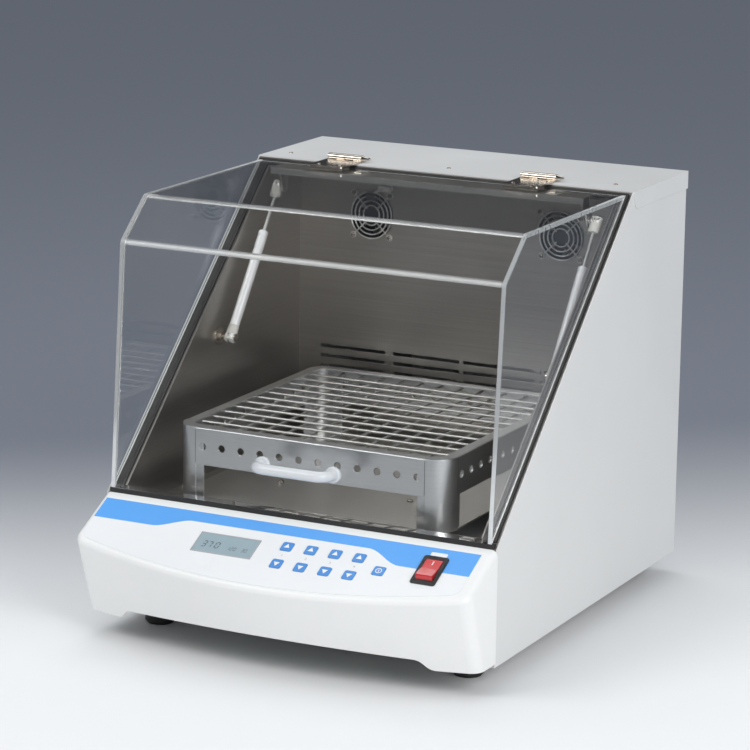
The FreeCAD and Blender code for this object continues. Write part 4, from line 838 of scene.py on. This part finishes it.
def display_face():
    mesh = bmesh.new()
    middle = (LCD_SLOPE[0] + LCD_SLOPE[1]) / 2
    display_number(mesh, "37", LCD_X[0] + 12 * MM, middle + 2 * MM, DIGIT_HIGH)
    display_number(mesh, "0", LCD_X[0] + 28.5 * MM, middle + 2 * MM, DIGIT_HIGH)
    display_number(mesh, "120", LCD_X[0] + 44 * MM, middle + 4 * MM, SMALL_DIGIT_HIGH)
    display_number(mesh, "30", LCD_X[0] + 62 * MM, middle + 4 * MM, SMALL_DIGIT_HIGH)
    normal = PANEL.to_3x3() @ Vector((0, 0, 1))
    bmesh.ops.translate(mesh, verts=mesh.verts, vec=normal * LCD_FACE)
    lift(mesh, mesh.faces[:], normal * PRINT)
    make_piece("display_digits", mesh, "case", [DIGITS])


def display_rim():
    mesh = bmesh.new()
    plate = bmesh.ops.create_grid(mesh, x_segments=1, y_segments=1, size=0.5)["verts"]
    bmesh.ops.scale(mesh, verts=plate, vec=(LCD_X[1] - LCD_X[0], LCD_SLOPE[1] - LCD_SLOPE[0], 1))
    middle = mesh.faces[:]
    bmesh.ops.inset_region(mesh, faces=middle, thickness=LCD_RIM, use_boundary=True, use_even_offset=True)
    bmesh.ops.delete(mesh, geom=middle, context="FACES")
    lift(mesh, mesh.faces[:], (0, 0, LCD_RIM_HIGH))
    soften(mesh, 0.12 * MM)
    place_mesh(mesh, on_panel(sum(LCD_X) / 2, sum(LCD_SLOPE) / 2, LCD_FACE))
    make_piece("display_rim", mesh, "case", [GREY_PRINT])


def switch_patch():
    mesh = bmesh.new()
    plate = bmesh.ops.create_grid(mesh, x_segments=1, y_segments=1, size=0.5)["verts"]
    bmesh.ops.scale(mesh, verts=plate, vec=(*SWITCH_PATCH, 1))
    bmesh.ops.bevel(mesh, geom=plate, offset=SWITCH_PATCH_CORNER, segments=4, profile=0.5,
                    affect="VERTICES", material=-1)
    lift(mesh, mesh.faces[:], (0, 0, PRINT))
    place_mesh(mesh, on_panel(SWITCH_X, SWITCH_PATCH_SLOPE, FILM + PRINT))
    make_piece("switch_patch", mesh, "case", [WHITE_PRINT])


# Fasteners

def cross_screw(mesh, matrix, radius, high):
    middle = matrix @ Matrix.Translation((0, 0, high / 2))
    head = bmesh.ops.create_cone(mesh, cap_ends=True, segments=20, radius1=radius, radius2=radius * 0.82,
                                 depth=high, matrix=middle)["verts"]
    edges = {edge for vert in head for edge in vert.link_edges}
    bmesh.ops.bevel(mesh, geom=list(edges), offset=high * 0.2, segments=2, profile=0.5, affect="EDGES",
                    material=-1, clamp_overlap=True)
    # The black cross on each head is painted shade standing for the recess.
    for turn in (0, math.pi / 2):
        size = Matrix.Diagonal((radius * 1.1, radius * 0.24, high * 0.1, 1))
        lie = matrix @ Matrix.Translation((0, 0, high)) @ Matrix.Rotation(turn, 4, "Z") @ size
        slot = bmesh.ops.create_cube(mesh, size=1.0, matrix=lie)["verts"]
        for face in faces_of(slot):
            face.material_index = 1


def screws(name, body, places, radius, high):
    mesh = bmesh.new()
    for matrix in places:
        cross_screw(mesh, matrix, radius, high)
    # The second finish colours the painted recess shade on the heads.
    make_piece(name, mesh, body, [FINISHES["hardware"], FINISHES["black_plastic"]])


def cover_screws():
    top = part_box("top_cover")[1].z
    places = [Matrix.Translation((x, COVER_SCREW_Y, top)) for x in COVER_SCREW_X]
    screws("cover_screws", "case", places, 2.6 * MM, 1.0 * MM)


def hinge_screws():
    cover_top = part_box("top_cover")[1].z + COVER_LEAF
    lid_top = cover_top + LID_LEAF_STEP
    across = [x + dx for x in HINGE_X for dx in (-HINGE_SCREW_HALF, HINGE_SCREW_HALF)]
    cover_places = [Matrix.Translation((x, HINGE_SCREW_Y["cover"], cover_top)) for x in across]
    lid_places = [Matrix.Translation((x, HINGE_SCREW_Y["lid"], lid_top)) for x in across]
    screws("cover_hinge_screws", "case", cover_places, 3.2 * MM, 0.9 * MM)
    screws("lid_hinge_screws", "lid", lid_places, 3.2 * MM, 0.9 * MM)


def fan_screws():
    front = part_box("fan_guards")[0].y + FAN_GUARD_LUG
    towards_front = Matrix.Rotation(math.pi / 2, 4, "X")
    places = [Matrix.Translation((x + dx, front, FAN_Z + dz)) @ towards_front
              for x in FAN_X for dx in (-FAN_HOLE, FAN_HOLE) for dz in (-FAN_HOLE, FAN_HOLE)]
    screws("fan_screws", "case", places, 3.4 * MM, 2.0 * MM)


def rack_screws():
    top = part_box("rack_base")[1].z
    places = [Matrix.Translation((x, y, top)) for x in RACK_SCREW_X for y in RACK_SCREW_Y]
    screws("rack_screws", "platform", places, 4.2 * MM, 2.4 * MM)


def rear_screws():
    low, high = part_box("rear_panel")
    towards_back = Matrix.Rotation(-math.pi / 2, 4, "X")
    lowest = low.z + REAR_SCREW_INSET
    pitch = (high.z - REAR_SCREW_TOP - lowest) / (REAR_SCREW_ROWS - 1)
    levels = [lowest + row * pitch for row in range(REAR_SCREW_ROWS)]
    spots = [(x, z) for x in (low.x + REAR_SCREW_INSET, high.x - REAR_SCREW_INSET) for z in levels]
    spots += [(0, levels[0]), (0, levels[-1])]
    places = [Matrix.Translation((x, high.y, z)) @ towards_back for x, z in spots]
    screws("rear_screws", "case", places, 3.4 * MM, 1.1 * MM)


# Strut fittings

def snap_ring(name, body, centre):
    mesh = bmesh.new()
    lie = Matrix.Translation((0, 0, SOCKET_R)) @ Matrix.Rotation(math.pi / 2, 4, "X")
    section = bmesh.ops.create_circle(mesh, segments=10, radius=RING_WIRE, matrix=lie)["verts"]
    bmesh.ops.spin(mesh, geom=section + mesh.edges[:], axis=(1, 0, 0), cent=(0, 0, 0), angle=2 * math.pi,
                   steps=40, use_merge=True)
    bmesh.ops.remove_doubles(mesh, verts=mesh.verts, dist=0.01 * MM)
    bmesh.ops.recalc_face_normals(mesh, faces=mesh.faces)
    place_mesh(mesh, Matrix.Translation(centre))
    make_piece(name, mesh, body, [FINISHES["hardware"]])


def strut_rings():
    for side, sign in (("left", -1), ("right", 1)):
        x = Vector((sign * STRUT_X, 0, 0))
        snap_ring(side + "_tube_ring", side + "_tube", x + STRUT_LOW)
        snap_ring(side + "_rod_ring", side + "_rod", x + STRUT_HIGH)


def socket_sleeve(name, body, centre, direction):
    mesh = bmesh.new()
    turn = direction.to_track_quat("Z", "Y").to_matrix().to_4x4()
    middle = Matrix.Translation(centre + direction * SLEEVE_SHIFT) @ turn
    bmesh.ops.create_cone(mesh, cap_ends=True, segments=28, radius1=SLEEVE_R, radius2=SLEEVE_R * 0.92,
                          depth=SLEEVE_LONG, matrix=middle)
    soften(mesh, 0.8 * MM, segments=3)
    make_piece(name, mesh, body, [SOCKET_PLASTIC])


def strut_sleeves():
    direction = (STRUT_HIGH - STRUT_LOW).normalized()
    for side, sign in (("left", -1), ("right", 1)):
        x = Vector((sign * STRUT_X, 0, 0))
        socket_sleeve(side + "_tube_sleeve", side + "_tube", x + STRUT_LOW, direction)
        socket_sleeve(side + "_rod_sleeve", side + "_rod", x + STRUT_HIGH, -direction)


# Painted shade in the seams between rack rails and posts: thin black strips on the joint lines

def rack_seams():
    low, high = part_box("rack_frame")
    middle = (low + high) / 2
    reach = high.x - middle.x
    size = Matrix.Diagonal((RAIL_SEAM, 2 * PRINT, RAIL_HEIGHT - 2 * SEAM_MARGIN, 1))
    mesh = bmesh.new()
    for quarter in range(4):
        turn = Matrix.Translation((middle.x, middle.y, 0)) @ Matrix.Rotation(quarter * math.pi / 2, 4, "Z")
        for side in (-1, 1):
            spot = Matrix.Translation((side * (reach - RACK_CORNER_R), -reach, high.z - RAIL_HEIGHT / 2))
            bmesh.ops.create_cube(mesh, size=1.0, matrix=turn @ spot @ size)
    soften(mesh, 0.02 * MM)
    make_piece("rack_seams", mesh, "platform", [FINISHES["black_plastic"]])


# Rocker marks

def rocker_marks():
    mesh = bmesh.new()
    bmesh.ops.create_cube(mesh, size=1.0, matrix=Matrix.Diagonal((*ROCKER_MARK_SIZE, 1)))
    soften(mesh, 0.1 * MM)
    pivot = on_panel(SWITCH_X, SWITCH_SLOPE, ROCKER_PIVOT) @ Matrix.Rotation(ROCKER_TILT, 4, "X")
    place_mesh(mesh, pivot @ Matrix.Translation(ROCKER_MARK) @ Matrix.Rotation(ROCKER_FACE, 4, "X"))
    make_piece("rocker_marks", mesh, "rocker", [WHITE_PRINT])


# Studio

# The floor colour carries painted light: pale around the object as a painted pool of light, grey behind and
# dark in front as painted falloff.
def pale_floor():
    mesh = bmesh.new()
    bmesh.ops.create_grid(mesh, x_segments=1, y_segments=1, size=FLOOR_HALF)
    data = bpy.data.meshes.new("floor")
    mesh.to_mesh(data)
    mesh.free()
    floor = bpy.data.objects.new("floor", data)
    bpy.context.scene.collection.objects.link(floor)
    material, tree, shader, place = blank_material("floor_paper")
    backward = (-math.sin(FLOOR_TURN), math.cos(FLOOR_TURN), 0)
    reach = vector_calculate(tree, "DOT_PRODUCT", place, backward, "Value")
    behind = stretch_range(tree, reach, FLOOR_PALE_TO, FLOOR_GREY_FROM, "SMOOTHSTEP")
    front_left = (-math.sin(CAMERA_AZIMUTH), -math.cos(CAMERA_AZIMUTH), 0)
    reach = vector_calculate(tree, "DOT_PRODUCT", place, front_left, "Value")
    before = stretch_range(tree, reach, FLOOR_FRONT_PALE_TO, FLOOR_FRONT_DARK_FROM, "SMOOTHSTEP")
    paper = mix_colours(tree, behind, PALE_FLOOR, GREY_FLOOR)
    tree.links.new(mix_colours(tree, before, paper, DARK_FLOOR), shader.inputs["Base Color"])
    shader.inputs["Roughness"].default_value = 0.9
    shader.inputs["Specular IOR Level"].default_value = 0.1
    data.materials.append(material)


def studio_surround():
    world = bpy.data.worlds.new("studio")
    bpy.context.scene.world = world
    world.use_nodes = True
    tree = world.node_tree
    lighting = tree.nodes["Background"]
    lighting.inputs["Color"].default_value = ROOM_LIGHT
    lighting.inputs["Strength"].default_value = ROOM_STRENGTH
    seen = tree.nodes.new("ShaderNodeBackground")
    seen.inputs["Color"].default_value = DARK_SURROUND
    path = tree.nodes.new("ShaderNodeLightPath").outputs
    direct = calculate(tree, "MAXIMUM", path["Is Camera Ray"], path["Is Glossy Ray"])
    mixer = tree.nodes.new("ShaderNodeMixShader")
    tree.links.new(calculate(tree, "MAXIMUM", direct, path["Is Transmission Ray"]), mixer.inputs[0])
    tree.links.new(lighting.outputs[0], mixer.inputs[1])
    tree.links.new(seen.outputs[0], mixer.inputs[2])
    tree.links.new(mixer.outputs[0], tree.nodes["World Output"].inputs["Surface"])


def softbox(name, place, wide, tall, watts):
    data = bpy.data.lights.new(name, "AREA")
    data.shape = "RECTANGLE"
    data.size = wide
    data.size_y = tall
    data.energy = watts
    lamp = bpy.data.objects.new(name, data)
    lamp.location = place
    lamp.rotation_euler = (LIGHT_AIM - Vector(place)).to_track_quat("-Z", "Y").to_euler()
    bpy.context.scene.collection.objects.link(lamp)


def studio_lamps():
    softbox("overhead_softbox", (-0.5, 1.0, 2.6), 1.8, 1.5, 14)
    softbox("front_softbox", (-1.5, -2.2, 2.4), 1.8, 1.3, 34)
    softbox("side_softbox", (2.6, -1.7, 1.6), 1.4, 1.6, 50)


def photo_camera():
    data = bpy.data.cameras.new("camera")
    data.lens = CAMERA_LENS
    camera = bpy.data.objects.new("camera", data)
    turn = Matrix.Rotation(CAMERA_AZIMUTH, 4, "Z") @ Matrix.Rotation(math.pi / 2 - CAMERA_ELEVATION, 4, "X")
    turn = turn @ Matrix.Rotation(CAMERA_ROLL, 4, "Z")
    place = CAMERA_AIM + turn.to_3x3() @ Vector((0, 0, CAMERA_DISTANCE))
    camera.matrix_world = Matrix.Translation(place) @ turn
    bpy.context.scene.collection.objects.link(camera)
    bpy.context.scene.camera = camera


photo_camera()
studio_surround()
studio_lamps()
pale_floor()
dress_solids()
bent_sheet()
flat_sides()
blue_band()
key_marks()
key_numbers()
display_face()
display_rim()
switch_patch()
rocker_marks()
cover_screws()
hinge_screws()
fan_screws()
rack_screws()
rear_screws()
strut_rings()
strut_sleeves()
rack_seams()
bpy.context.scene.view_settings.view_transform = "Standard"
